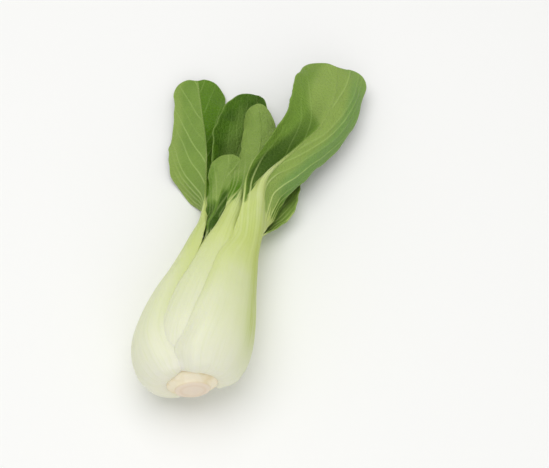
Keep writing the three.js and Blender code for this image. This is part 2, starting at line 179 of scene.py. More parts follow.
def cupped(fold, cup):
    """The same fold and cup from the neck to the tip."""
    return ((0, fold, fold, cup, cup), (1, fold, fold, cup, cup))


# Left and right are as the outer face is seen with its tip up.
# path: points of the midrib, from the neck to the tip
# neck: half the stalk's width at the neck
# face: which way the outer face looks at the neck, halfway along the blade and at its tip
# width: (share of the blade's length, left half width, right half width)
# bend: (share of the length, left fold, right fold, left cup, right cup) in degrees
# wave: height, number and phase of the waves along the margins
# widen: (mm from the neck, left, right) mm by which the leaf is wider there
# tip: the share of the blade over which its end is rounded, and how bluntly
# notch: how far its tip is drawn in, over which half width, and where across it
# crease: the share of the right half at which it turns down, and by how many degrees
# lower: mm by which its foot starts lower than its rank gives
# press: mm by which the stalk's margins press in on the leaf inside, left and right, and mm more by the foot
# rib: half the midrib's width, its height, and the run over which the stalk narrows to it
# slope: how much steeper than usual the side veins run, left and right
# apart: how much further apart than usual they are
# veins: how strongly they show, left and right
# fan: how far the stalk's pale colour runs on into them
# greens: where the stalk turns green, in mm from the neck, left and right
# pale_to: the share of its half width at which the midrib's pale colour has gone, left and right
# fade: from which to which share of the blade the midrib loses its pale colour, and how far
# flush: how green the stalk's right flank is
# pale: how far the outer face goes to its paler olive
# pale_edge_sheen: how far it does so near its margins, left and right, as a painted sheen
# deep: (share of the length, left, right) how far the outer face goes to its deeper green, a painted shade
# deep_shade_from: (share of the length, left, right) the share of the half beyond which it does
# hollow_shade: (share of the length, left, right, share of the half) painted shade on the outer face, and up
# to where
# light: how far the inner face goes to the outer one's paler green
# dark_rim: how far its margins don't, left and right, and with them its tip
PLAIN = dict(
    widen=((0, 0, 0), (1, 0, 0)), tip=(0.28, 2.5), notch=(0, 1, 0), crease=(0.5, 0), lower=0,
    press=(0.7, 0.7, 1.5), rib=(1.0, 1.0, 16), slope=(1, 1), apart=1, veins=(0.6, 0.6), fan=0.6,
    greens=(0, 0), pale_to=(1.5, 1.5), fade=(0.2, 0.8, 0.5), flush=0, pale=0, pale_edge_sheen=(0, 0),
    deep=((0, 0.4, 0.4), (1, 0.2, 0.2)), deep_shade_from=((0, -1, -1), (1, -1, -1)),
    hollow_shade=((0, 0, 0, 0.5), (1, 0, 0, 0.5)), light=0, dark_rim=(0, 0),
)
LEAVES = (
    dict(
        path=(
            (15.2, 90, 29), (14.3, 103, 30), (14.7, 118, 30.5), (27.5, 140.5, 29), (38, 161, 27),
            (40.5, 185, 23), (38, 205, 18),
        ),
        neck=9, face=(50, 62, 80),
        width=(
            (0, 8, 9), (0.1, 8, 20), (0.2, 9.7, 22.3), (0.3, 12.6, 19.5), (0.41, 17, 18.2), (0.55, 20, 18.2),
            (0.76, 22.5, 19.8), (0.87, 22, 19), (1, 22.5, 20.5),
        ),
        bend=(
            (0, 20, 20, 20, 20), (0.1, 28, 14, -20, 15), (0.22, 62, 8, -95, 10), (0.45, 75, 6, -120, 12),
            (0.6, 46, 6, -72, 15), (0.8, 16, 5, -28, 12), (1, 4, 5, 0, 10),
        ),
        wave=(0.7, 2.4, 0.6), widen=((-36, 0, 0), (-12, 1.6, 0), (0, 1.6, 0), (12, 0, 0)),
        tip=(0.2, 3.2), notch=(3, 5, -2), crease=(0.6, 28), press=(1.5, 0.7, 4),
        rib=(1.3, 1.3, 40), slope=(1.4, 2.4), apart=1.3, veins=(0.35, 1.3), fan=1,
        greens=(2, 7), pale_to=(1.2, 1.1), fade=(0.1, 0.55, 0.85), flush=1, pale=0.6,
        deep=((0, 0.6, 0.9), (0.2, 0.6, 0.8), (0.4, 0.6, 0.2), (0.6, 0.6, 0), (0.85, 0.5, 0), (1, 0.3, 0)),
        deep_shade_from=((0, -1, 0.6), (0.5, -0.5, 0.75), (0.7, 0.5, 0.8), (1, 0.5, 0.8)),
        hollow_shade=(
            (0, 0.3, 0, 0.8), (0.12, 0.6, 0, 0.82), (0.3, 1, 0, 0.78), (0.45, 0.88, 0, 0.62),
            (0.6, 0.42, 0, 0.5), (0.74, 0.1, 0, 0.4), (0.85, 0, 0, 0.3), (1, 0, 0, 0.3),
        ),
    ),
    dict(
        path=(
            (-12.5, 96, 17.5), (-14.5, 108, 17.5), (-16.8, 120, 17), (-21.4, 142, 15), (-28, 162, 12),
            (-36.5, 188, 8),
        ),
        neck=6.5, face=(165, 98, 85),
        width=(
            (0, 6, 4.5), (0.12, 15.2, 2.5), (0.22, 21, 3), (0.35, 22.3, 5), (0.6, 21, 14), (0.75, 15.6, 16),
            (0.87, 14.2, 15), (1, 14, 14),
        ),
        bend=(
            (0, 15, 15, 20, 20), (0.15, 8, 70, 12, 0), (0.4, 8, 75, 12, -10), (0.65, 8, 32, 12, 0),
            (1, 5, 12, 10, 5),
        ),
        wave=(1, 2.5, 1),
        widen=((-34, 0, 0), (-18, 0, 1.2), (-10, 0, 0.6), (-3, 0, -1.6), (5, 0, -1.6), (14, 0, 0)),
        tip=(0.15, 3), notch=(2, 2.6, 0.5), lower=1.9, press=(0.7, 1.8, 3),
        rib=(0.45, 0.8, 14), slope=(1.4, 1.2), apart=1.15, veins=(1, 0.3), fan=0.35,
        fade=(0, 0.2, 0.72), pale_edge_sheen=(0.6, 0),
        deep=((0, 0, 0.9), (0.5, 0, 1), (0.75, 0, 0.9), (1, 0.2, 0.7)),
    ),
    dict(
        path=((12.3, 88, 6), (15, 108, 3.8), (21, 136, 2.3), (28, 160, 3)),
        neck=7.5, face=(312, 280, 270),
        width=(
            (0, 10, 6), (0.12, 13, 8), (0.24, 14.5, 10), (0.33, 17, 11), (0.43, 17.5, 12), (0.55, 15, 12.5),
            (0.7, 12, 13), (1, 11, 12),
        ),
        bend=((0, -22, 8, 0, 15), (0.15, -12, 8, 0, 15), (0.45, 8, 8, 15, 15), (1, 8, 8, 15, 15)),
        wave=(0.8, 3, 2), rib=(1.2, 1.2, 20), slope=(1.5, 1.5), veins=(0.5, 0.5),
        deep=((0, 0.3, 0.3), (1, 0.7, 0.7)), light=0.9,
    ),
    dict(
        path=((3, 96, 28.5), (5, 114, 28), (8, 135, 25), (6, 153, 21), (0.5, 172, 17)),
        neck=6.5, face=(90, 95, 95),
        width=((0, 5, 6), (0.12, 7, 8), (0.4, 11, 12.5), (0.7, 12, 11.5), (0.85, 11, 8.5), (1, 11, 7)),
        bend=cupped(12, 25), wave=(1, 2.5, 3), tip=(0.22, 2.8),
        rib=(0.7, 0.4, 22), slope=(2, 2), veins=(0.15, 0.15), fan=0.3,
        greens=(-8, -8), fade=(0, 0.25, 0.92), pale=0.35,
        deep=((0, 1, 0.8), (0.2, 1, 0.6), (0.36, 0, 0), (1, 0, 0)),
    ),
    dict(
        path=((-5.3, 95, 7.8), (-6.5, 118, 8.5), (-5, 146, 9), (0, 180, 11)),
        neck=6.5, face=(227, 262, 270),
        width=((0, 6, 5), (0.12, 9, 5), (0.35, 13, 11), (0.62, 14, 18), (0.85, 10, 16), (1, 8, 15)),
        bend=((0, 10, 10, 20, 20), (0.3, 5, 18, 10, 25), (1, 5, 15, 15, 20)), wave=(1, 2.5, 1),
        rib=(0.8, 0.8, 18), slope=(1.5, 1.5), veins=(0.12, 0.12),
        fade=(0, 0.6, 0.8), light=0.4, dark_rim=(0, 1),
    ),
    dict(
        path=((13.6, 95, 17.2), (18.5, 117, 16.5), (25.5, 137, 15.5), (30.5, 154, 14)),
        neck=5.5, face=(4, 35, 50), width=wide(5.5, 8), bend=cupped(15, 10), wave=(0.6, 2.5, 4),
    ),
    dict(
        path=((-8.2, 90, 22.3), (-6.8, 104, 24.2), (-6.2, 119, 23), (-5.5, 136, 20)),
        neck=6.5, face=(118, 106, 90),
        width=((0, 5, 6), (0.25, 7, 6.5), (0.6, 10, 8), (0.8, 11, 8.5), (1, 12, 8)),
        bend=cupped(8, 12), wave=(0.9, 2, 5), widen=((-28, 0, 0), (-8, 2.5, 0), (0, 2.5, 0), (12, 0, 0)),
        tip=(0.24, 2.4), rib=(0.7, 0.5, 8), slope=(2, 2), veins=(0.5, 0.5), fan=0.1,
        greens=(-16, -16), fade=(-0.35, -0.03, 1), pale=0.3,
        deep=(
            (0, 0.95, 0.95), (0.22, 0.9, 0.95), (0.34, 0.5, 0.95), (0.42, 0.6, 0.9), (0.52, 0.6, 0.2),
            (0.7, 0.5, 0), (0.92, 0.1, 0), (1, 0, 0),
        ),
        deep_shade_from=((0, -1, -1), (0.24, -1, -1), (0.34, 0.5, -1), (1, 0.5, -1)),
        hollow_shade=(
            (0, 0.9, 0.9, 1.3), (0.2, 0.8, 0.9, 1.3), (0.32, 0.1, 0.9, 1.3), (0.42, 0, 0.8, 1.3),
            (0.5, 0, 0.1, 1.3), (1, 0, 0, 1.3),
        ),
    ),
    dict(
        path=((4.3, 95, 8.2), (8.3, 117, 10.5), (12.5, 137, 12), (15, 154, 13.5)),
        neck=5.5, face=(280, 278, 275), width=wide(9.5, 7.8), bend=cupped(5, 15), wave=(0.6, 2, 0),
    ),
    dict(
        path=((7.3, 94, 23.3), (9.5, 110, 23.5), (13, 124, 22)),
        neck=4.5, face=(57, 62, 70), width=wide(7, 4.5), bend=cupped(10, 20), wave=(0.5, 2, 1),
        greens=(-10, -10),
    ),
    dict(
        path=((-3.4, 92, 14.5), (-3, 105, 16), (-2, 117, 16.5)),
        neck=4.2, face=(195, 200, 210), width=wide(5, 5), bend=cupped(10, 30), wave=(0.4, 2, 2),
    ),
    dict(
        path=((8, 93, 14.2), (9.4, 106, 15.2), (10.8, 117, 16)),
        neck=3.8, face=(332, 330, 325), width=wide(4, 4.5), bend=cupped(10, 30), wave=(0.4, 2, 3),
    ),
    dict(
        path=((1.6, 90, 20.8), (2.2, 101, 20.5), (3, 111, 20)),
        neck=3.2, face=(110, 110, 110), width=wide(4.5, 4.5), bend=cupped(10, 30), wave=(0.3, 2, 4),
    ),
)


def form_of(rank):
    """All the values of a leaf, its own ones over the plain ones."""
    return PLAIN | LEAVES[rank]


# ---- curves and tables ----


def smooth(a, b, x):
    """0 before a and 1 after b, with a soft step between."""
    t = np.clip((np.asarray(x, float) - a) / (b - a), 0, 1)
    return t * t * (3 - 2 * t)


def lerp(a, b, t):
    """From a to b, as t goes from 0 to 1."""
    return a + (b - a) * t


def along(pairs, x):
    """The values at x of a smooth line through (place, value) pairs."""
    places, values = np.array(pairs, float).T
    last = len(places) - 1
    x = np.clip(np.asarray(x, float), places[0], places[-1])
    i = np.clip(np.searchsorted(places, x, side="right") - 1, 0, last - 1)
    before, after = np.maximum(np.arange(last + 1) - 1, 0), np.minimum(np.arange(last + 1) + 1, last)
    slopes = (values[after] - values[before]) / (places[after] - places[before])
    h = places[i + 1] - places[i]
    t = (x - places[i]) / h
    return (
        values[i] * (1 + 2 * t) * (1 - t) ** 2 + slopes[i] * h * t * (1 - t) ** 2
        + values[i + 1] * t * t * (3 - 2 * t) + slopes[i + 1] * h * t * t * (t - 1)
    )


def columns_at(table, t):
    """Each column of a table at t: the first column holds the places, and the others the values."""
    return [along([(row[0], row[column]) for row in table], t) for column in range(1, len(table[0]))]


def by_side(x, left, right):
    """The left value where x is 0 or more, and the right one elsewhere. Both may hold one value to a row."""
    return np.where(x >= 0, np.reshape(left, (-1, 1)), np.reshape(right, (-1, 1)))


def axis_at(y):
    """Where the head's axis lies at y, as x and z."""
    return along(AXIS_X, y), along(AXIS_Z, y)


def slanted(p):
    """Points of the straight head moved to their places in the real one, whose foot slants."""
    share = 1 - smooth(0, TILT_RUN, p[..., 1])
    moved = p.copy()
    moved[..., 1] += FOOT_TILT * (p[..., 0] - axis_at(p[..., 1])[0]) * share
    return moved


def step_up(rank, y):
    """How much further up the head a leaf lies at height y than the outermost one does."""
    return (rank * FOOT_STEP - form_of(rank)["lower"]) * (1 - smooth(*STEP_FADES, y))


# ---- a leaf's surface ----


class Midrib:
    """The line of a leaf's midrib: a centripetal curve through its points, read by length."""

    SAMPLES = 600
    REACH = 0.05  # mm to each side over which its direction is read

    def __init__(self, rank, form):
        points = self._stalk_points(rank)
        neck_index = len(points)
        points = np.array(points + list(form["path"]), float)
        self.points = np.vstack((2 * points[0] - points[1], points, 2 * points[-1] - points[-2]))
        self.spans = len(points) - 1
        self.places = np.linspace(0, self.spans, self.SAMPLES + 1)
        steps = np.linalg.norm(np.diff(self._curve(self.places), axis=0), axis=1)
        self.lengths = np.concatenate(((0,), np.cumsum(steps)))
        self.length = self.lengths[-1]
        self.neck = float(np.interp(neck_index, self.places, self.lengths))

    def _stalk_points(self, rank):
        """The stalk's middle line, at the leaf's own place in the spiral."""
        share = 1 - rank * INWARD_PER_RANK
        angle = math.radians(FIRST_AZIMUTH + GOLDEN_ANGLE * rank)
        points = []
        for y, radius in STALK_PROFILE:
            up = y + float(step_up(rank, y))
            x, z = axis_at(up)
            points.append((x + radius * share * math.cos(angle), up, z + radius * share * math.sin(angle)))
        return points

    def _curve(self, place):
        i = np.clip(place.astype(int), 0, self.spans - 1)
        t = (place - i)[:, None]
        p0, p1, p2, p3 = (self.points[i + k] for k in range(4))
        pairs = ((p0, p1), (p1, p2), (p2, p3))
        d0, d1, d2 = (np.sqrt(np.linalg.norm(b - a, axis=1))[:, None] for a, b in pairs)
        m1 = ((p1 - p0) / d0 - (p2 - p0) / (d0 + d1) + (p2 - p1) / d1) * d1
        m2 = ((p2 - p1) / d1 - (p3 - p1) / (d1 + d2) + (p3 - p2) / d2) * d1
        return p1 + m1 * t + (3 * (p2 - p1) - 2 * m1 - m2) * t**2 + (2 * (p1 - p2) + m1 + m2) * t**3

    def at(self, length):
        """Points at these lengths along the line."""
        return self._curve(np.interp(length, self.lengths, self.places))

    def tangent(self, length):
        """The line's direction at these lengths along it."""
        ahead = self.at(np.minimum(length + self.REACH, self.length))
        behind = self.at(np.maximum(length - self.REACH, 0))
        return (ahead - behind) / np.linalg.norm(ahead - behind, axis=1)[:, None]


class Leaf:
    """A leaf's form on a grid: rows at places up its midrib and columns at places across it."""

    def __init__(self, rank, shape):
        self.rank = rank
        self.form = form_of(rank)
        self.midrib = Midrib(rank, self.form)
        self.neck, self.length = self.midrib.neck, self.midrib.length
        self.up, self.u = self._grid(shape)  # mm up the midrib of each row, and -1 to 1 for the columns
        self.from_neck = self.up - self.neck
        self.past_neck = self.from_neck / (self.length - self.neck)  # the share of the blade
        self.t = np.clip(self.past_neck, 0, 1)  # the same, but 0 on the stalk
        self.points = self.midrib.at(self.up)
        ax, az = axis_at(self.points[:, 1])
        self.radius = np.hypot(self.points[:, 0] - ax, self.points[:, 2] - az)
        self.rib_half = self._stalk_half()

        rng = np.random.default_rng(rank + 1)
        self.margin = by_side(self.u[None], *self._outline(rng))
        self.x = self.u[None] * self.margin  # mm across the leaf, above 0 on its left
        self.reach = np.clip(np.abs(self.x) / np.maximum(self.margin, 1), 0, 1)  # 1 at the margin
        self.share = self.x / self.rib_half[:, None]  # 1 and -1 at the edges of the stalk or midrib
        self.phase, self.one_count = vein_phases(self, rng)
        self.shows = self.pair("veins") * smooth(*VEIN_CROWDED, self.one_count)

    def _grid(self, shape):
        """Places up the midrib, closer together at its ends, and across it from -1 to 1."""
        stalk_rows, columns = shape.stalk_rows, shape.columns
        if self.rank >= OUTER_LEAVES:
            part, whole = INNER_SHARE
            stalk_rows, columns = stalk_rows * part // whole, columns * part // whole
        blade = self.length - self.neck
        blade_rows = max(int(blade / shape.row_spacing), LEAST_ROWS)
        stalk_t = np.linspace(0, 1, stalk_rows + 1) ** FOOT_ROWS
        blade_t = 1 - (1 - np.linspace(0, 1, blade_rows + 1)[1:]) ** TIP_ROWS
        even = np.linspace(-1, 1, columns)
        u = lerp(even, np.sin(even * math.pi / 2), MARGIN_COLUMNS)
        return np.concatenate((stalk_t * self.neck, self.neck + blade_t * blade)), u

    def pair(self, name):
        """At each point, a setting that is given for the left and the right."""
        return by_side(self.x, *self.form[name])

    def sides(self, name):
        """At each point, a setting that is given for the left and the right and changes up the blade."""
        return by_side(self.x, *columns_at(self.form[name], self.t))

    def step(self, begin, end):
        """A soft step in each row, between two places in mm from the neck."""
        return smooth(self.neck + begin, self.neck + end, self.up)

    def bulb_place(self):
        """How far up the head each row lies, counted as on the outermost leaf."""
        y = self.points[:, 1]
        return y - step_up(self.rank, y)

    def _stalk_half(self):
        """Half the width of the stalk, and of the midrib that it runs on as."""
        at_neck = self.form["neck"]
        half, _, run = self.form["rib"]
        wrap = np.radians(along(STALK_WRAP, self.bulb_place())) * self.radius
        below = lerp(wrap, at_neck, self.step(-NECK_RUN, 0))
        above = lerp(at_neck, lerp(half, RIB_TIP, self.past_neck), self.step(0, run))
        return np.where(self.up < self.neck, below, above)

    def _blade_halves(self, rng):
        """Half the width of the blade on each side, left and right."""
        rounded, power = self.form["tip"]
        end = np.clip((self.t - 1 + rounded) / rounded, 0, 1)
        round_off = (1 - end**power) ** (1 / power)
        grown = smooth(*OUTLINE_BEGINS, self.t)
        halves = []
        for half in columns_at(self.form["width"], self.t):
            wobble = sum(
                size * np.sin(math.tau * count * self.t + rng.uniform(0, math.tau))
                for count, size in OUTLINE_WAVES
            )
            halves.append(np.maximum(TIP_HALF, half * round_off * (1 + wobble * grown)))
        return halves

    def _outline(self, rng):
        """Half the leaf's width on each side: the stalk's as far as the neck, and then the blade's."""
        stalk = np.where(self.up < self.neck, self.rib_half, self.form["neck"])
        is_blade = self.step(*BLADE_BEGINS)
        wider = columns_at(self.form["widen"], self.from_neck)
        return [lerp(stalk, half, is_blade) + more for half, more in zip(self._blade_halves(rng), wider)]

    def _wrapped(self):
        """The surface wrapped about the head's axis, as a stalk lies."""
        y = self.points[:, 1]
        ax, az = axis_at(y)
        middle = np.arctan2(self.points[:, 2] - az, self.points[:, 0] - ax)[:, None]
        angle = middle + self.x / np.maximum(self.radius, LEAST_WRAP)[:, None]
        return np.stack((
            ax[:, None] + self.radius[:, None] * np.cos(angle),
            np.broadcast_to(y[:, None], self.x.shape),
            az[:, None] + self.radius[:, None] * np.sin(angle),
        ), axis=-1)

    def _facing(self):
        """Which way the outer face looks in each row, and the way across it."""
        halfway = self.neck + (self.length - self.neck) / 2
        first, second, third = self.form["face"]
        to_halfway = (second - first) * smooth(self.neck, halfway, self.up)
        to_tip = (third - second) * smooth(halfway, self.length, self.up)
        face = np.radians(first + to_halfway + to_tip)
        hint = np.stack((np.cos(face), np.zeros_like(face), np.sin(face)), axis=-1)
        tangent = self.midrib.tangent(self.up)
        out = hint - tangent * np.sum(hint * tangent, axis=1)[:, None]
        out /= np.linalg.norm(out, axis=1)[:, None]
        return out, np.cross(out, tangent)

    def _waves(self, margin, opened):
        """How far each wave of the margins lifts the blade."""
        height, count, phase = self.form["wave"]
        side = by_side(self.x, 0, SIDE_PHASE)
        t = self.t[:, None]
        outward = np.abs(self.x) / margin
        yield height * opened * outward**2 * np.sin(math.tau * count * t + phase + side)
        by_phase, by_margin = RUFFLE_PHASES
        for number, tall in RUFFLES:
            ripple = np.sin(math.tau * number * t + by_phase * phase + by_margin * side)
            yield tall * opened * outward**4 * ripple

    def _section(self):
        """How far across and how far out each point lies in the opened blade's own section."""
        t = self.t[:, None]
        fold_left, fold_right, cup_left, cup_right = columns_at(self.form["bend"], self.t)
        fold = by_side(self.x, fold_left, fold_right)
        cup = by_side(self.x, cup_left, cup_right)
        size = np.abs(self.x)
        margin = np.maximum(self.sides("width"), size)
        neck_point = self.midrib.at(np.array((self.neck,)))[0]
        nx, nz = axis_at(neck_point[1])
        neck_radius = max(math.hypot(neck_point[0] - nx, neck_point[2] - nz), LEAST_BEND)
        opened = self.step(0, BLADE_OPENS)[:, None]
        crease_at, degrees = self.form["crease"]
        begins, ends = CREASE_FADES
        crease = by_side(self.x, 0, degrees) * (smooth(*begins, t) * (1 - smooth(*ends, t)))
        across, out = np.zeros_like(self.x), np.zeros_like(self.x)
        for i in range(SECTION_PIECES):
            r = size * (i + 0.5) / SECTION_PIECES
            creased = crease * smooth(crease_at - CREASE_SOFT, crease_at + CREASE_SOFT, r / margin)
            turn = lerp(-r / neck_radius, -np.radians(fold + cup * r / margin + creased), opened)
            across += np.cos(turn) * size / SECTION_PIECES
            out += np.sin(turn) * size / SECTION_PIECES
        for rise in self._waves(margin, opened):
            out += rise
        return across, out

    def middle_surface(self):
        """The leaf's middle surface: wrapped round the head as a stalk, and in its own section as a blade."""
        across, out = self._section()
        outward, sideways = self._facing()
        sideways_step = sideways[:, None] * (np.sign(self.x) * across)[..., None]
        spread = self.points[:, None] + sideways_step + outward[:, None] * out[..., None]
        share = self.step(*WRAP_ENDS)[:, None, None]
        place = lerp(slanted(self._wrapped()), spread, share)
        above = place[..., 2] - BLADE_LOWEST
        low = BLADE_LOWEST + (above + np.sqrt(above**2 + FLOOR_SOFT**2)) / 2
        place[..., 2] = lerp(place[..., 2], low, smooth(*LEVELS_OUT, share[..., 0]))
        return place

    def _bulge(self):
        """The section of the stalk and midrib, 1 at its middle and 0 at its edges, and how round it is."""
        s = np.clip(np.abs(self.share), 0, 1)
        rounded = self.step(*RIB_ROUNDS)[:, None]
        return lerp(1 - s**STALK_TAPER, (1 - s**2) ** 2, rounded), rounded

    def _stalk_out(self):
        """Half the stalk's thickness."""
        s = np.clip(np.abs(self.share), 0, 1)
        middle = along(STALK_THICKNESS, self.bulb_place()) * self._thinner()
        return (STALK_EDGE + (middle[:, None] - STALK_EDGE) * (1 - s**STALK_TAPER)) / 2

    def _thinner(self):
        """The leaf's share of the outermost one's thickness."""
        return 1 - THINNER_PER_RANK * self.rank

    def _rib_height(self):
        """How far the midrib stands out in each row."""
        _, tall, run = self.form["rib"]
        before_tip, sunk = (self.length - mm for mm in RIB_ENDS)
        lower = lerp(RIB_AT_NECK * self._thinner(), tall, self.step(0, run))
        height = lerp(lower, RIB_TIP_HEIGHT, smooth(self.neck, before_tip, self.up))
        return height * (1 - smooth(before_tip, sunk, self.up))

    def _press(self):
        """How far the stalk's margins turn in on the leaf inside."""
        left, right, foot = self.form["press"]
        at_foot = foot * smooth(*PRESS_BEGINS, self.up) * (1 - smooth(*PRESS_EASES, self.up))
        press = by_side(self.u[None], left, right) + at_foot[:, None]
        return press * smooth(*PRESSED, np.abs(self.u)) * (1 - self.step(-PRESS_ENDS, 0))[:, None]

    def _drawn_in(self):
        """How far the notch draws the tip in."""
        depth, half, place = self.form["notch"]
        return depth * np.exp(-(((self.x - place) / half) ** 2)) * smooth(*NOTCH_RUN, self.past_neck)[:, None]

    def sheets(self, shape):
        """The inner and the outer face: the middle surface with the leaf's thickness, midrib and veins."""
        surface = self.middle_surface()
        normal = normals_of(surface)
        surface = surface - self.midrib.tangent(self.up)[:, None] * self._drawn_in()[..., None]

        bulge, rounded = self._bulge()
        in_blade = smooth(*VEIN_BEGINS, self.from_neck)[:, None]
        distance = np.abs(self.phase - np.round(self.phase)) * self.one_count
        vein = np.exp(-((distance / lerp(*VEIN_BROAD, self.reach)) ** 2))
        vein = vein * (1 - VEIN_SINKS * smooth(*VEIN_ENDS, self.reach))
        vein = vein * in_blade * (1 - VEIN_HIDDEN * bulge) * self.shows
        quilt = self._quilt() * in_blade * (1 - bulge) * smooth(*QUILT_BEGINS, self.reach)
        surface = surface + normal * quilt[..., None]

        stalk_out = self._stalk_out()
        rib_height = self._rib_height()[:, None]
        blade_out = -BLADE_SET_IN + (rib_height + BLADE_SET_IN) * bulge + shape.vein_height * vein
        blade_in = -BLADE_SET_IN - BLADE_THICKNESS + shape.vein_groove * (vein + RIB_GROOVE * bulge * rounded)
        front = self.step(-RIB_RISES, 0)[:, None]
        outer, inner = lerp(stalk_out, blade_out, front), lerp(-stalk_out, blade_in, front)
        thin = THINNED * smooth(*THIN_MARGIN, np.abs(self.u))[None]
        middle = (outer + inner) / 2
        press = self._press()
        faces = []
        for height in (inner, outer):
            face = surface + normal * (lerp(height, middle, thin) - press)[..., None]
            face[..., 2] = np.maximum(face[..., 2], FLOOR_Z)
            faces.append(face)
        return np.stack(faces)

    def _quilt(self):
        """How far the blade rises and falls between its veins."""
        across, sway, sway_run, up = QUILT_RUNS
        rows = self.up[:, None]
        swaying = self.x / across + sway * np.sin(rows / sway_run)
        return QUILTING * np.sin(swaying) * np.sin(rows / up + self.rank)


def normals_of(grid):
    """The outward normal at each point of a surface's grid."""
    columns = np.gradient(grid, axis=1)
    rows = np.gradient(grid, axis=0)
    normal = np.cross(rows, columns)
    return normal / np.maximum(np.linalg.norm(normal, axis=-1), LEAST_NORMAL)[..., None]


# ---- veins ----


def vein_counts(leaf, places, steeper, rng):
    """The count of side veins up to each place along the midrib. They aren't quite evenly spaced."""
    apart = lerp(*VEIN_APART, smooth(*VEIN_APART_RUN, places)) * leaf.form["apart"]
    spacing = apart * np.sqrt(1 + (along(VEIN_SLOPES, places) * steeper) ** 2)
    counts = np.concatenate(((0,), np.cumsum(np.diff(places) / spacing[1:])))
    return counts + sum(size * np.sin(places / run + rng.uniform(0, VEIN_SHIFT)) for size, run in VEIN_UNEVEN)


def leaves_midrib_at(leaf):
    """How far up the blade the vein that passes each point of the midrib leaves it."""
    runs = np.linspace(0, leaf.length - leaf.neck, MIDRIB_PLACES)
    ribs = np.interp(leaf.neck + runs, leaf.up, leaf.rib_half)
    ribs = np.minimum.accumulate(ribs) - ALWAYS_NARROWER * runs
    size, half = np.abs(leaf.x), leaf.rib_half[:, None]
    bundle = np.where(leaf.from_neck[:, None] < 0, size * leaf.form["neck"] / half, size)
    return np.interp(bundle, ribs[::-1], runs[::-1])


def veins_to_a_mm(leaf, phase):
    """How fast the count of veins turns, straight across them."""
    size = np.abs(leaf.x)
    across_step = np.gradient(size, axis=1)
    across_step = np.where(np.abs(across_step) < TINY_STEP, TINY_STEP, across_step)
    across_turn = np.gradient(phase, axis=1) / across_step
    middle = leaf.x.shape[1] // 2
    either_side = across_turn[:, middle + 2] + across_turn[:, middle - 2]
    across_turn[:, middle - 1 : middle + 2] = either_side[:, None] / 2
    along_turn = np.gradient(phase, leaf.up, axis=0) - across_turn * np.gradient(size, leaf.up, axis=0)
    return np.hypot(across_turn, along_turn)


def vein_phases(leaf, rng):
    """A count that passes a whole number at each side vein, and the width of one count in mm.

    The veins run together up the stalk and the midrib. The outermost of them leave it first, at the neck, and
    each of the others leaves where the midrib has narrowed to its place.
    """
    rows = leaf.from_neck[:, None]
    size, half = np.abs(leaf.x), leaf.rib_half[:, None]
    beyond = np.maximum(size - half, 0)
    inside = leaves_midrib_at(leaf)
    places = np.linspace(VEINS_FROM, leaf.length - leaf.neck, VEIN_PLACES)
    across_run, up_run = VEIN_WANDER_RUNS
    phase = np.zeros_like(leaf.x)
    for side, steeper in zip((leaf.x >= 0, leaf.x < 0), leaf.form["slope"]):
        slope = along(VEIN_SLOPES, rows) * steeper
        wander = VEIN_WANDER * np.sin(size / across_run + rows / up_run) * smooth(*VEIN_WANDERS, beyond)
        outside = rows - slope * beyond * (1 + VEIN_CURVE * leaf.reach) + wander
        start = np.where(size < half, inside, outside)
        phase = np.where(side, np.interp(start, places, vein_counts(leaf, places, steeper, rng)), phase)
    one_count = 1 / np.maximum(veins_to_a_mm(leaf, phase), VEIN_LEAST_TURN)
    return phase + by_side(leaf.x, *COUNTS_FROM), one_count


# ---- where a leaf's colours lie, with its painted shade and sheen ----

TURNS_GREEN = (-14, 16)  # mm from where a stalk turns green, over which it does
FLANK_GREEN = 0.6  # how green its flanks are by then
FLANKS = (0.2, 1)  # the share of its half width over which they are
MIDRIB_BEGINS = (0, 14)  # mm over which the pale colour draws in to the midrib
PALE_FROM = 0.37  # the share of pale_to from which it goes
DEEP_SHADE_SOFT = 0.15  # the share of the half to each side of where the painted deeper shade begins
FLUSH_STEPS = ((0.12, -0.8, -0.3), (0.2, -0.35, 0.05), (0.5, -0.05, 0.22))  # how far, and from where to where
FLUSH_EASES = (0.6, 0.45, 0.95)  # how far it goes back towards the very margin, and from where to where
FLUSH_RISES = (6, 50)  # mm from the stem
FLUSH_AT_NECK = (0.65, -28, 6)  # how far it goes there, and mm from the neck
HOLLOW_SHADE_BEGINS = (0.03, 0.18)  # the share of the half over which the painted shade in the hollow beside the midrib darkens
HOLLOW_SHADE_SOFT = 0.12  # the share to each side of its end
BAND_WIDE = (0.3, 0.02)  # the shares by which the painted sheen band along a crease begins and is full before it
BAND_BEGINS = (0.14, 0.34)  # the share of the blade
BAND_ENDS = (0.6, 0.8, 1)  # how far it goes, and over which share of the blade
DARK_RIM = (0.3, 0.7)  # the share of the half
DARK_TIP = (0.8, 0.95)  # the share of the blade
PALE_EDGE_SHEEN = (0.55, 0.85)  # the share of the half over which the painted sheen near a margin grows
VEIN_DIMS = (0.85, 0.5, 0.95)  # how far a side vein's colour goes towards the margin, and over which share


def green_of(leaf):
    """How green each point is: 0 on the stalk and midrib, and 1 on the blade."""
    size = np.abs(leaf.share)
    beyond = leaf.up[:, None] - (leaf.neck + leaf.pair("greens"))
    flank = smooth(*TURNS_GREEN, beyond) ** 2 * smooth(*FLANKS, np.clip(size, 0, 1)) * FLANK_GREEN
    pale_to = leaf.pair("pale_to")
    from_rib = smooth(PALE_FROM * pale_to, pale_to, size)
    green = lerp(flank, from_rib, smooth(*MIDRIB_BEGINS, beyond))
    begins, ends, fades = leaf.form["fade"]
    return 1 - (1 - green) * (1 - fades * smooth(begins, ends, leaf.past_neck))[:, None]


def deep_shade_of(leaf):
    """Painted shade: how far the outer face goes to its deeper green where it turns from the light or lies
    under another leaf.
    """
    deep = leaf.sides("deep")
    begins = leaf.sides("deep_shade_from")
    return deep * smooth(begins - DEEP_SHADE_SOFT, begins + DEEP_SHADE_SOFT, leaf.reach)


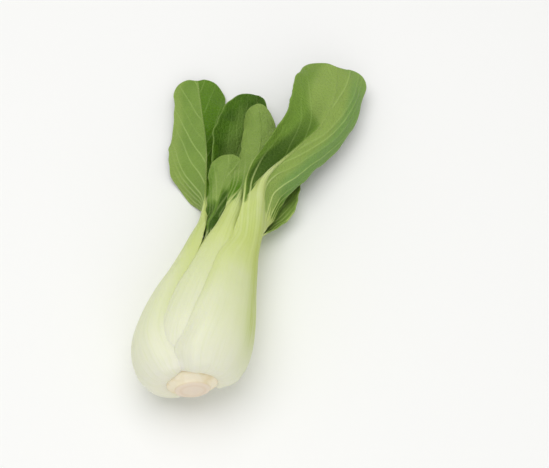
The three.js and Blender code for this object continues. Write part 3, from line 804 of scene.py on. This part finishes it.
def flush_of(leaf):
    """How green the stalk's right flank is."""
    to_right = -leaf.share
    flush = sum(size * smooth(begins, ends, to_right) for size, begins, ends in FLUSH_STEPS)
    eases, *margin = FLUSH_EASES
    flush = leaf.form["flush"] * flush * (1 - eases * smooth(*margin, to_right))
    goes, *neck = FLUSH_AT_NECK
    return flush * (smooth(*FLUSH_RISES, leaf.up) * (1 - goes * leaf.step(*neck)))[:, None]


def hollow_shade_of(leaf):
    """Painted shade: how dark the outer face is made in the hollow beside the midrib."""
    left, right, ends = columns_at(leaf.form["hollow_shade"], leaf.t)
    hollow_shade = by_side(leaf.x, left, right) * smooth(*HOLLOW_SHADE_BEGINS, leaf.reach)
    return hollow_shade * (1 - smooth(-HOLLOW_SHADE_SOFT, HOLLOW_SHADE_SOFT, leaf.reach - ends[:, None]))


def band_sheen_of(leaf):
    """A painted sheen: the band along a margin that turns down, as far as its crease."""
    crease_at, degrees = leaf.form["crease"]
    begins, full = BAND_WIDE
    band_sheen = (degrees > 0) * (leaf.x < 0) * smooth(crease_at - begins, crease_at - full, leaf.reach)
    goes, *tip = BAND_ENDS
    return band_sheen * (smooth(*BAND_BEGINS, leaf.t) * (1 - goes * smooth(*tip, leaf.t)))[:, None]


def light_of(leaf):
    """How far the inner face goes to the outer one's paler green."""
    rim = leaf.pair("dark_rim") * smooth(*DARK_RIM, leaf.reach)
    rim = np.maximum(rim, max(leaf.form["dark_rim"]) * smooth(*DARK_TIP, leaf.t)[:, None])
    return leaf.form["light"] * (1 - rim)


def pale_of(leaf):
    """How far the outer face goes to its paler olive, which near some margins is a painted sheen."""
    edge_sheen = leaf.pair("pale_edge_sheen") * smooth(*PALE_EDGE_SHEEN, leaf.reach)
    return lerp(leaf.form["pale"], 1, edge_sheen)


def vein_strength_of(leaf):
    """How strongly the side veins are coloured."""
    dims, *margin = VEIN_DIMS
    return leaf.shows * (1 - dims * smooth(*margin, leaf.reach))


def paint(leaf):
    """All that the leaf's material reads, by the names of its attributes."""
    everywhere = np.ones_like(leaf.x)
    return {
        "along": leaf.up[:, None] * everywhere,
        "across": leaf.x,
        "share": leaf.share,
        "from_neck": leaf.from_neck[:, None] * everywhere,
        "green": green_of(leaf),
        "vein_phase": leaf.phase,
        "vein_count": leaf.one_count,
        "vein_strength": vein_strength_of(leaf),
        "hollow_shade": hollow_shade_of(leaf),
        "band_sheen": band_sheen_of(leaf),
        "deep": deep_shade_of(leaf),
        "pale": pale_of(leaf),
        "light": light_of(leaf),
        "fan": leaf.form["fan"] * everywhere,
        "flush": flush_of(leaf),
        "to_margin": leaf.margin - np.abs(leaf.x),
    }


# ---- meshes ----


def slab_mesh(name, rows, columns):
    """A flat closed slab of two grids joined at their margins. All three of its sides go from -1 to 1."""
    bm = bmesh.new()
    for height in (1, -1):
        bmesh.ops.create_grid(
            bm, x_segments=columns - 1, y_segments=rows - 1, size=1, matrix=Matrix.Translation((0, 0, height))
        )
    bmesh.ops.bridge_loops(bm, edges=[e for e in bm.edges if e.is_boundary])
    bmesh.ops.recalc_face_normals(bm, faces=bm.faces)
    return finished_mesh(bm, name)


def turned_mesh(name, profile, sides):
    """The closed form of a profile that turns about y. The profile starts and ends on that axis."""
    bm = bmesh.new()
    (_, start), *outline, (_, end) = profile
    angles = [math.tau * side / sides for side in range(sides)]
    rings = [[bm.verts.new((r * math.cos(a), y, r * math.sin(a))) for a in angles] for r, y in outline]
    for ring, following in zip(rings, rings[1:]):
        for side in range(sides):
            bm.faces.new((ring[side], following[side], following[side - 1], ring[side - 1]))
    for ring, height in ((rings[0], start), (rings[-1], end)):
        tip = bm.verts.new((0, height, 0))
        for side in range(sides):
            bm.faces.new((tip, ring[side - 1], ring[side]))
    bmesh.ops.recalc_face_normals(bm, faces=bm.faces)
    return finished_mesh(bm, name)


def finished_mesh(bm, name):
    """The built form as a mesh."""
    mesh = bpy.data.meshes.new(name)
    bm.to_mesh(mesh)
    bm.free()
    return mesh


def read_vertices(mesh):
    """The places of a mesh's vertices, one to a row."""
    flat = np.empty(len(mesh.vertices) * 3, np.float32)
    mesh.vertices.foreach_get("co", flat)
    return flat.reshape(-1, 3).astype(float)


def place_vertices(mesh, places):
    """Moves a mesh's vertices to places given in the leaves' own layout."""
    mesh.vertices.foreach_set("co", ((places - ORIGIN) * MM).astype(np.float32).ravel())
    mesh.update()


def vertex_floats(mesh, name, values):
    """Gives each vertex a value that the materials can read."""
    layer = mesh.attributes.new(name, "FLOAT", "POINT")
    layer.data.foreach_set("value", np.ascontiguousarray(values, np.float32))


def dress(mesh, name, material, nodes):
    """Makes the finished mesh a piece of the model that stands for its CAD nodes."""
    mesh.polygons.foreach_set("use_smooth", np.ones(len(mesh.polygons), bool))
    mesh.materials.append(material)
    piece = bpy.data.objects.new(name, mesh)
    bpy.context.scene.collection.objects.link(piece)
    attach(piece, "root")
    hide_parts(*nodes)
    return piece


def leaf_piece(rank, shape, material):
    """A leaf as one closed piece: a slab whose vertices are moved to its two faces."""
    leaf = Leaf(rank, shape)
    rows, columns = leaf.x.shape
    name = f"leaf_{rank + 1:02d}"
    mesh = slab_mesh(name, rows, columns)
    flat = read_vertices(mesh)
    column = np.rint((1 - flat[:, 0]) / 2 * (columns - 1)).astype(int)
    row = np.rint((flat[:, 1] + 1) / 2 * (rows - 1)).astype(int)
    is_outer = (flat[:, 2] > 0).astype(int)
    for attribute, values in paint(leaf).items():
        vertex_floats(mesh, attribute, values[row, column])
    vertex_floats(mesh, "inner_face", 1.0 - is_outer)
    place_vertices(mesh, leaf.sheets(shape)[is_outer, row, column])
    return dress(mesh, name, material, (name + "_stalk", name + "_blade"))


def stem_piece(shape, material):
    """The cut stub and the hidden cone, turned from the stem's profile."""
    mesh = turned_mesh("stem_stub", STEM_PROFILE, shape.stem_sides)
    places = read_vertices(mesh)
    vertex_floats(mesh, "from_middle", np.hypot(places[:, 0], places[:, 2]))
    vertex_floats(mesh, "height", places[:, 1])
    ax, az = axis_at(places[:, 1])
    places[:, 0] += ax
    places[:, 2] += az
    place_vertices(mesh, slanted(places))
    return dress(mesh, "stem_stub", material, ("stem",))


# ---- materials ----

SHADER_SOCKETS = {
    "colour": "Base Color", "roughness": "Roughness", "normal": "Normal", "ior": "IOR",
    "specular": "Specular IOR Level", "flesh": "Subsurface Weight", "flesh_radius": "Subsurface Radius",
    "flesh_scale": "Subsurface Scale",
}


class Nodes:
    """A material's node tree, with short ways to add what these finishes need."""

    def __init__(self, name):
        self.material = bpy.data.materials.new(name)
        self.material.use_nodes = True
        self.tree = self.material.node_tree
        self.shader = self.tree.nodes["Principled BSDF"]
        self.attributes = {}

    def put(self, socket, value):
        if isinstance(value, bpy.types.NodeSocket):
            self.tree.links.new(value, socket)
        elif socket.type == "RGBA":
            socket.default_value = (*value[:3], 1)
        else:
            socket.default_value = value

    def shade(self, **values):
        """Sets the shader's own sockets, by the names above."""
        for name, value in values.items():
            self.put(self.shader.inputs[SHADER_SOCKETS[name]], value)

    def add(self, kind, inputs=(), **options):
        node = self.tree.nodes.new(kind)
        for key, value in options.items():
            setattr(node, key, value)
        for key, value in dict(inputs).items():
            self.put(node.inputs[key], value)
        return node

    def read(self, name):
        """A value that the mesh carries, read by one node however often it is used."""
        if name not in self.attributes:
            node = self.add("ShaderNodeAttribute", attribute_type="GEOMETRY", attribute_name=name)
            self.attributes[name] = node.outputs["Fac"]
        return self.attributes[name]

    def place(self):
        return self.add("ShaderNodeTexCoord").outputs["Object"]

    def math(self, operation, *values):
        node = self.add("ShaderNodeMath", operation=operation)
        for socket, value in zip(node.inputs, values):
            self.put(socket, value)
        return node.outputs[0]

    def times(self, a, b):
        return self.math("MULTIPLY", a, b)

    def rest(self, value):
        """What is left of 1."""
        return self.math("SUBTRACT", 1.0, value)

    def step(self, value, low, high, start=0.0, end=1.0):
        """A soft step that gives start where the value is low and end where it is high."""
        node = self.add(
            "ShaderNodeMapRange",
            {"Value": value, "From Min": low, "From Max": high, "To Min": start, "To Max": end},
            interpolation_type="SMOOTHSTEP",
        )
        return node.outputs["Result"]

    def mix(self, factor, a, b, blend="MIX"):
        node = self.add("ShaderNodeMix", data_type="RGBA", blend_type=blend)
        self.put(node.inputs["Factor"], factor)
        colours = [socket for socket in node.inputs if socket.type == "RGBA"]
        self.put(colours[0], a)
        self.put(colours[1], b)
        return next(socket for socket in node.outputs if socket.type == "RGBA")

    def ramp(self, value, stops):
        node = self.add("ShaderNodeValToRGB", {"Fac": value})
        elements = node.color_ramp.elements
        while len(elements) < len(stops):
            elements.new(0.5)
        for element, (place, colour) in zip(elements, stops):
            element.position = place
            element.color = (*colour, 1)
        return node.outputs["Color"]

    def vector(self, x, y, z=0.0):
        return self.add("ShaderNodeCombineXYZ", {"X": x, "Y": y, "Z": z}).outputs[0]

    def noise(self, vector, scale, detail=3.0, roughness=0.55):
        node = self.add(
            "ShaderNodeTexNoise", {"Vector": vector, "Scale": scale, "Detail": detail, "Roughness": roughness}
        )
        return node.outputs["Fac"]

    def bump(self, height, strength, distance, normal=None):
        node = self.add("ShaderNodeBump", {"Height": height, "Strength": strength, "Distance": distance})
        if normal is not None:
            self.put(node.inputs["Normal"], normal)
        return node.outputs["Normal"]


# ---- the finish of the leaves: a step is (low, high), and then what it gives at each if not 0 and 1 ----
STALK_RUN = 130.0  # mm up a leaf over which its stalk's colours follow one another
STREAK_GRAIN = (14.0, 0.02)  # waves of noise to half a stalk's width, and to a mm up it
STREAK_NOISE = (1.6, 4.0)  # scale and detail
STREAK_STEP = (0.45, 0.72, 0.0, 0.25)
PATCH_NOISE = (26.0, 3.0)
PATCH_STEP = (0.42, 0.7, 0.0, 0.3)
STALK_MARGIN_AND_SHADE = (0.0, 5.0, 0.55, 0.0)  # mm from the margin: own colour and painted seam shade
STALK_UPPER = (0.25, 0.6)  # the share of the stalk's run over which its margins turn yellower, partly as painted seam shade
FLUSH_STREAKS = (0.35, 0.65, 0.95, 0.7)
LINE_WIDTH = (-5.0, 40.0, 0.95, 0.55)  # mm from the neck, and mm of half a vein's width
LINE_EDGE = (0.15, 1.0, 1.0, 0.0)
OWN_STRENGTH = (0.1, 0.95, 0.2, 1.0)  # each vein's own, by chance
FAN_RUN = (10.0, 46.0, 0.9, 0.0)  # mm from the neck
FRINGE_GRAIN = (2.1, 6.0, 0.03)  # waves to a vein, to half a stalk's width, and to a mm up it
FRINGE_NOISE = (1.0, 3.0)
FRINGE_STEP = (0.36, 0.62, 0.0, 0.6)
FRINGE_SOFT = 0.4  # the share of green over which the fringe turns
BETWEEN_RUN = (-34.0, -4.0, 0.0, 0.22)  # mm from the neck
MOTTLE_NOISE = (60.0, 4.0)
MOTTLE_OUTSIDE = (0.35, 0.68, 0.0, 0.6)
MOTTLE_INSIDE = (0.35, 0.68)
HOLLOW_SHADE, BAND_SHEEN = 0.85, 0.7  # how far the painted shade in the hollow and the painted sheen on the band take their own colours
NET_TO_MM = 0.42  # cells of the fine net between the veins to a mm
NET_LINE = (0.02, 0.14, 1.0, 0.0)
NET_SHOWS, VEIN_SHOWS = 0.035, 0.6
RIM_HIGHLIGHT = (0.0, 0.7, 0.22, 0.0)  # mm from the margin: a painted highlight along the blade's rim
RIDGES = 40.0  # radians of the stalk's ridges to half its width
RIDGE_SHARE = 0.25  # of the stalk's bump
FINE_GRAIN = (30.0, 0.05)
FINE_NOISE = (2.0, 3.0)
NET_RISE = (0.0, 0.3)
MOTTLE_SHARE = 0.3  # of the blade's bump
BUMP_DISTANCE = 0.0004  # m
STALK_BUMP, BLADE_BUMP = 0.35, 0.45
LEAF_ROUGHNESS = (0.36, 0.5)  # of the stalk and of the blade


def grain_of(nodes, across, up):
    """A place on the leaf that noise can be drawn out along."""
    return nodes.vector(nodes.times(nodes.read("share"), across), nodes.times(nodes.read("along"), up))


def stalk_colour(nodes, colours, place, line):
    """The stalk, from its foot to its neck and on along the midrib, greener between the veins at its neck;
    higher up, its margins carry painted shade where stalks meet.
    """
    height = nodes.math("DIVIDE", nodes.read("along"), STALK_RUN)
    stalk = nodes.ramp(height, (
        (0.0, colours.foot), (0.12, colours.bulb), (0.42, colours.stalk), (0.7, colours.upper_stalk_and_shade),
        (0.85, colours.midrib), (1.0, colours.midrib),
    ))
    streaks = nodes.noise(grain_of(nodes, *STREAK_GRAIN), *STREAK_NOISE)
    stalk = nodes.mix(nodes.step(streaks, *STREAK_STEP), stalk, colours.streak)
    patches = nodes.noise(place, *PATCH_NOISE)
    stalk = nodes.mix(nodes.step(patches, *PATCH_STEP), stalk, colours.bulb)
    # the margins turn yellower: partly their own colour, partly painted shade at the seams between stalks
    margin_and_shade = nodes.step(nodes.read("to_margin"), *STALK_MARGIN_AND_SHADE)
    stalk = nodes.mix(nodes.times(margin_and_shade, nodes.step(height, *STALK_UPPER)), stalk, colours.upper_stalk_and_shade)
    flush = nodes.times(nodes.read("flush"), nodes.step(streaks, *FLUSH_STREAKS))
    stalk = nodes.mix(flush, stalk, colours.flush)
    between = nodes.times(nodes.rest(line), nodes.step(nodes.read("from_neck"), *BETWEEN_RUN))
    return nodes.mix(between, stalk, colours.flush)


def side_veins(nodes):
    """A thin line wherever the count passes a whole number, and how strongly each of them shows."""
    phase = nodes.read("vein_phase")
    number = nodes.math("ROUND", phase)
    away = nodes.math("ABSOLUTE", nodes.math("SUBTRACT", phase, number))
    away = nodes.times(away, nodes.read("vein_count"))
    own = nodes.add("ShaderNodeTexWhiteNoise", {"W": number}, noise_dimensions="1D").outputs["Value"]
    broad = nodes.step(nodes.read("from_neck"), *LINE_WIDTH)
    line = nodes.step(nodes.math("DIVIDE", away, broad), *LINE_EDGE)
    vein = nodes.times(line, nodes.step(own, *OWN_STRENGTH))
    return line, nodes.times(vein, nodes.read("vein_strength"))


def blade_share(nodes, line):
    """Where the leaf is green: the stalk's pale colour ends in a fringe, and runs on into the first veins."""
    to_vein, to_half, up = FRINGE_GRAIN
    by_vein = nodes.times(nodes.read("vein_phase"), to_vein)
    streaked = nodes.math("ADD", by_vein, nodes.times(nodes.read("share"), to_half))
    fringe = nodes.noise(nodes.vector(streaked, nodes.times(nodes.read("along"), up)), *FRINGE_NOISE)
    fringe = nodes.step(fringe, *FRINGE_STEP)
    green = nodes.step(nodes.read("green"), fringe, nodes.math("ADD", fringe, FRINGE_SOFT))
    fan = nodes.times(line, nodes.step(nodes.read("from_neck"), *FAN_RUN))
    return nodes.times(green, nodes.rest(nodes.times(fan, nodes.read("fan"))))


def blade_net(nodes):
    """The distance from the fine net between the veins."""
    across = nodes.times(nodes.read("across"), NET_TO_MM)
    place = nodes.vector(across, nodes.times(nodes.read("along"), NET_TO_MM))
    return nodes.add(
        "ShaderNodeTexVoronoi", {"Vector": place, "Scale": 1.0, "Randomness": 0.9},
        feature="DISTANCE_TO_EDGE", voronoi_dimensions="2D",
    ).outputs["Distance"]


def blade_colour(nodes, colours, mottle, net, vein):
    """The blade, its two faces, its veins and its rim, with painted shade, a painted sheen and a painted
    highlight along the rim.
    """
    outside = colours.blade_outside
    for shows, colour in (
        (nodes.step(mottle, *MOTTLE_OUTSIDE), colours.blade_outside_dark),
        # paler olive, and a painted sheen near some margins
        (nodes.read("pale"), colours.blade_pale_and_sheen),
        # painted shade: the deeper green of halves turned from the light
        (nodes.read("deep"), colours.blade_deep_shade),
        # painted shade in the hollow beside the midrib
        (nodes.times(nodes.read("hollow_shade"), HOLLOW_SHADE), colours.blade_hollow_shade),
        # painted sheen on a margin that turns down
        (nodes.times(nodes.read("band_sheen"), BAND_SHEEN), colours.blade_band_sheen),
    ):
        outside = nodes.mix(shows, outside, colour)
    inside = nodes.mix(nodes.step(mottle, *MOTTLE_INSIDE), colours.blade_inside, colours.blade_inside_dark)
    inside = nodes.mix(nodes.read("light"), inside, colours.blade_outside)
    blade = nodes.mix(nodes.read("inner_face"), outside, inside)
    # a painted highlight along the blade's rim
    rim = nodes.step(nodes.read("to_margin"), *RIM_HIGHLIGHT)
    net_line = nodes.step(net, *NET_LINE)
    for shows in (nodes.times(net_line, NET_SHOWS), nodes.times(vein, VEIN_SHOWS), rim):
        blade = nodes.mix(shows, blade, colours.vein)
    return blade


def leaf_bumps(nodes, green, mottle, net):
    """Fine ridges along the stalk, and the quilted blade between its veins."""
    ridge = nodes.math("SINE", nodes.times(nodes.read("share"), RIDGES))
    ridge = nodes.times(nodes.times(ridge, nodes.rest(green)), RIDGE_SHARE)
    fine = nodes.noise(grain_of(nodes, *FINE_GRAIN), *FINE_NOISE)
    stalk = nodes.bump(nodes.math("ADD", ridge, fine), STALK_BUMP, BUMP_DISTANCE)
    quilt = nodes.times(nodes.step(net, *NET_RISE), green)
    quilt = nodes.math("ADD", quilt, nodes.times(mottle, MOTTLE_SHARE))
    return nodes.bump(quilt, BLADE_BUMP, BUMP_DISTANCE, stalk)


def leaf_material(colours):
    """Pale ridged stalk, pale midrib and veins, and a green blade that is darker on its inner face."""
    nodes = Nodes("bok_choy_leaf")
    place = nodes.place()
    mottle = nodes.noise(place, *MOTTLE_NOISE)
    net = blade_net(nodes)
    line, vein = side_veins(nodes)
    green = blade_share(nodes, line)
    stalk = stalk_colour(nodes, colours, place, line)
    blade = blade_colour(nodes, colours, mottle, net, vein)
    nodes.shade(
        colour=nodes.mix(green, stalk, blade), normal=leaf_bumps(nodes, green, mottle, net),
        roughness=nodes.step(green, 0.0, 1.0, *LEAF_ROUGHNESS), ior=1.42, specular=0.22,
        flesh=0.18, flesh_radius=(0.9, 1.0, 0.4), flesh_scale=0.003,
    )
    return nodes.material


CUT_RADIUS = 9.5  # mm, of the cut face's rim
CUT_EDGE = (-4.3, -3.6)  # mm up the head over which the cut face turns into the stub's side
BLOTCH_NOISE = (140.0, 4.0)
RINGS_WOBBLE = 1.6  # mm
NOISE_MIDDLE = 0.5
BLOTCH_STEP = (0.45, 0.7, 0.0, 0.7)
FIBRE_NOISE = (900.0, 2.0)
LUMP_BUMP = (0.5, 0.0008)  # strength and distance in m
FIBRE_BUMP = (0.3, 0.0002)


def stem_material(colours):
    """The cut face: a pinkish cream disc with faint rings, a tan rim and a paler side."""
    nodes = Nodes("bok_choy_stem")
    place = nodes.place()
    blotch = nodes.noise(place, *BLOTCH_NOISE)
    wobble = nodes.times(nodes.math("SUBTRACT", blotch, NOISE_MIDDLE), RINGS_WOBBLE)
    from_middle = nodes.math("ADD", nodes.read("from_middle"), wobble)
    face = nodes.ramp(nodes.math("DIVIDE", from_middle, CUT_RADIUS), (
        (0.0, colours.cut), (0.42, colours.cut), (0.6, colours.cut_ring), (0.72, colours.cut),
        (0.84, colours.cut), (0.95, colours.cut_rim),
    ))
    side = nodes.mix(nodes.step(blotch, *BLOTCH_STEP), colours.stub_side, colours.cut_rim)
    lumps = nodes.bump(blotch, *LUMP_BUMP)
    nodes.shade(
        colour=nodes.mix(nodes.step(nodes.read("height"), *CUT_EDGE), face, side),
        normal=nodes.bump(nodes.noise(place, *FIBRE_NOISE), *FIBRE_BUMP, lumps),
        roughness=0.62, flesh=0.15, flesh_radius=(1.0, 0.8, 0.5), flesh_scale=0.002,
    )
    return nodes.material


def floor_material(colour):
    nodes = Nodes("studio_floor")
    nodes.shade(colour=tuple(colour), roughness=0.85)
    return nodes.material


# ---- what a user would change ----


def from_hex(code):
    """A colour written as on the screen, in the linear values that the nodes use."""
    parts = [int(code[i : i + 2], 16) / 255 for i in (0, 2, 4)]
    return tuple(c / 12.92 if c <= 0.04045 else ((c + 0.055) / 1.055) ** 2.4 for c in parts)


def colour_property(name, description, code):
    return FloatVectorProperty(
        name=name, description=description, subtype="COLOR", size=3, min=0, max=1, default=from_hex(code)
    )


class BokChoyShape(bpy.types.PropertyGroup):
    stalk_rows: IntProperty(
        name="Stalk rows", description="Rows of faces up the stalk of an outer leaf", default=66, min=12
    )
    row_spacing: FloatProperty(
        name="Blade rows", description="Distance between rows of a blade, in mm", default=0.6, min=0.2
    )
    columns: IntProperty(name="Columns", description="Points across an outer leaf", default=95, min=12)
    stem_sides: IntProperty(name="Stem sides", description="Sides of the cut stub", default=96, min=12)
    vein_height: FloatProperty(
        name="Vein height", description="How far the veins stand out, in mm", default=0.35, min=0
    )
    vein_groove: FloatProperty(
        name="Vein groove", description="How deep the veins lie in the inner face, in mm", default=0.22, min=0
    )


class BokChoyColours(bpy.types.PropertyGroup):
    foot: colour_property("Foot", "The foot of a stalk, at the stem", "E9E4CE")
    bulb: colour_property("Bulb", "The swollen part of a stalk", "E6E6D2")
    stalk: colour_property("Stalk", "The middle of a stalk", "DEE4B6")
    # also painted shade along the stalks' margins where they meet
    upper_stalk_and_shade: colour_property("Upper stalk", "A stalk near its neck", "CED98C")
    midrib: colour_property("Midrib", "The midrib of a blade", "C4D283")
    flush: colour_property("Flush", "The greener flank of the outermost stalk", "ACBE2A")
    # also the painted sheen near some margins
    blade_pale_and_sheen: colour_property("Blade, pale", "The paler olive of the outermost leaf", "96AC58")
    # painted shade on the outer face
    blade_deep_shade: colour_property("Blade, deep", "The deeper green of some halves of the outer face", "527C06")
    # painted shade in the hollow beside the outermost midrib
    blade_hollow_shade: colour_property("Blade, hollow", "The hollow beside the outermost midrib", "2F4D04")
    # painted sheen on a margin that turns down
    blade_band_sheen: colour_property("Blade, band", "The bluish green of a margin that turns down", "6B924D")
    streak: colour_property("Streak", "Fine streaks along a stalk", "D0D89A")
    # also the painted highlight along a blade's rim
    vein: colour_property("Vein", "Side veins and the rim of a blade", "B2CB78")
    blade_outside: colour_property("Blade outside", "The outer face of a blade", "7F9C47")
    blade_outside_dark: colour_property("Blade outside, dark", "Darker patches of the outer face", "718F3E")
    blade_inside: colour_property("Blade inside", "The inner face of a blade", "4E7316")
    blade_inside_dark: colour_property("Blade inside, dark", "Darker patches of the inner face", "38590C")
    cut: colour_property("Cut face", "The cut face of the stem", "E6D7C3")
    cut_ring: colour_property("Cut ring", "A faint ring in the cut face", "E1CFB8")
    cut_rim: colour_property("Cut rim", "The rim of the cut face", "E0CFA0")
    stub_side: colour_property("Stub side", "The side of the cut stub", "F0E6CC")
    floor: colour_property("Floor", "The studio floor", "F6F6F4")


class BokChoyStage(bpy.types.PropertyGroup):
    floor_size: FloatProperty(name="Floor size", description="Width of the floor", default=6.0, unit="LENGTH")
    azimuth: FloatProperty(name="Azimuth", description="The camera's azimuth, in degrees", default=11.0)
    elevation: FloatProperty(name="Elevation", description="The camera's elevation, in degrees", default=60.0)
    lens: FloatProperty(name="Lens", description="Focal length on a 36 mm sensor, in mm", default=121.6)
    key_power: FloatProperty(name="Key light", description="Power of the main light, in watts", default=9.0)
    fill_power: FloatProperty(name="Fill light", description="Power of the fill light, in watts", default=4.0)
    sky: FloatProperty(name="Sky", description="Strength of the even light all round", default=0.55)


# ---- operators ----


class MESH_OT_bok_choy_stem(bpy.types.Operator):
    """Makes the cut stub at the foot of the head"""

    bl_idname = "mesh.bok_choy_stem"
    bl_label = "Stem"

    def execute(self, context):
        scene = context.scene
        stem_piece(scene.bok_choy_shape, stem_material(scene.bok_choy_colours))
        return {"FINISHED"}


class MESH_OT_bok_choy_leaves(bpy.types.Operator):
    """Makes the leaves, from the outermost to the heart"""

    bl_idname = "mesh.bok_choy_leaves"
    bl_label = "Leaves"

    def execute(self, context):
        scene = context.scene
        material = leaf_material(scene.bok_choy_colours)
        for rank in range(len(LEAVES)):
            leaf_piece(rank, scene.bok_choy_shape, material)
        return {"FINISHED"}


CAMERA_PLACE = (116.11, -375.22, 845.34)  # in the leaves' own layout
CAMERA_SENSOR = 36  # mm
CAMERA_SEES = 50  # m
LIGHT_SIZE = 1.2  # m
KEY_PLACE = (-0.15, 0.1, 1.3)
FILL_PLACE = (0.35, -1.2, 0.7)
FLOOR_FACES = 4  # along each side


class SCENE_OT_bok_choy_stage(bpy.types.Operator):
    """Makes the plain floor, the soft lights and the camera"""

    bl_idname = "scene.bok_choy_stage"
    bl_label = "Studio"

    def execute(self, context):
        scene = context.scene
        stage = scene.bok_choy_stage
        self.add_floor(scene, stage)
        self.add_sky(scene, stage)
        self.add_light(scene, "key_light", stage.key_power, KEY_PLACE)
        self.add_light(scene, "fill_light", stage.fill_power, FILL_PLACE)
        self.add_camera(scene, stage)
        scene.view_settings.view_transform = "Standard"
        return {"FINISHED"}

    def add_floor(self, scene, stage):
        bm = bmesh.new()
        bmesh.ops.create_grid(bm, x_segments=FLOOR_FACES, y_segments=FLOOR_FACES, size=stage.floor_size / 2)
        mesh = finished_mesh(bm, "studio_floor")
        mesh.materials.append(floor_material(scene.bok_choy_colours.floor))
        floor = bpy.data.objects.new("studio_floor", mesh)
        scene.collection.objects.link(floor)

    def add_sky(self, scene, stage):
        world = bpy.data.worlds.new("studio")
        world.use_nodes = True
        background = world.node_tree.nodes["Background"]
        background.inputs["Color"].default_value = (1, 1, 1, 1)
        background.inputs["Strength"].default_value = stage.sky
        scene.world = world

    def add_light(self, scene, name, power, place):
        data = bpy.data.lights.new(name, "AREA")
        data.energy = power
        data.size = LIGHT_SIZE
        light = bpy.data.objects.new(name, data)
        light.location = place
        light.rotation_euler = (-Vector(place)).to_track_quat("-Z", "Y").to_euler()
        scene.collection.objects.link(light)

    def add_camera(self, scene, stage):
        data = bpy.data.cameras.new("camera")
        data.lens = stage.lens
        data.sensor_width = CAMERA_SENSOR
        data.clip_end = CAMERA_SEES
        camera = bpy.data.objects.new("camera", data)
        camera.location = Vector((np.array(CAMERA_PLACE) - ORIGIN) * MM)
        camera.rotation_euler = (math.radians(90 - stage.elevation), 0, math.radians(stage.azimuth))
        scene.collection.objects.link(camera)
        scene.camera = camera


class VIEW3D_PT_bok_choy(bpy.types.Panel):
    """Lists what this add-on makes and the sizes and colours that it is made with"""

    bl_label = "Bok Choy"
    bl_idname = "VIEW3D_PT_bok_choy"
    bl_space_type = "VIEW_3D"
    bl_region_type = "UI"
    bl_category = "Bok Choy"

    def draw(self, context):
        layout, scene = self.layout, context.scene
        for operator in OPERATORS:
            layout.operator(operator.bl_idname)
        for group in (scene.bok_choy_shape, scene.bok_choy_colours, scene.bok_choy_stage):
            box = layout.box()
            for name in group.__annotations__:
                box.prop(group, name)


OPERATORS = (MESH_OT_bok_choy_stem, MESH_OT_bok_choy_leaves, SCENE_OT_bok_choy_stage)
CLASSES = (BokChoyShape, BokChoyColours, BokChoyStage, *OPERATORS, VIEW3D_PT_bok_choy)


def register():
    for cls in CLASSES:
        bpy.utils.register_class(cls)
    bpy.types.Scene.bok_choy_shape = PointerProperty(type=BokChoyShape)
    bpy.types.Scene.bok_choy_colours = PointerProperty(type=BokChoyColours)
    bpy.types.Scene.bok_choy_stage = PointerProperty(type=BokChoyStage)


def unregister():
    del bpy.types.Scene.bok_choy_shape
    del bpy.types.Scene.bok_choy_colours
    del bpy.types.Scene.bok_choy_stage
    for cls in reversed(CLASSES):
        bpy.utils.unregister_class(cls)


def main():
    register()
    bpy.ops.scene.bok_choy_stage()
    bpy.ops.mesh.bok_choy_stem()
    bpy.ops.mesh.bok_choy_leaves()


if __name__ == "__main__":
    main()
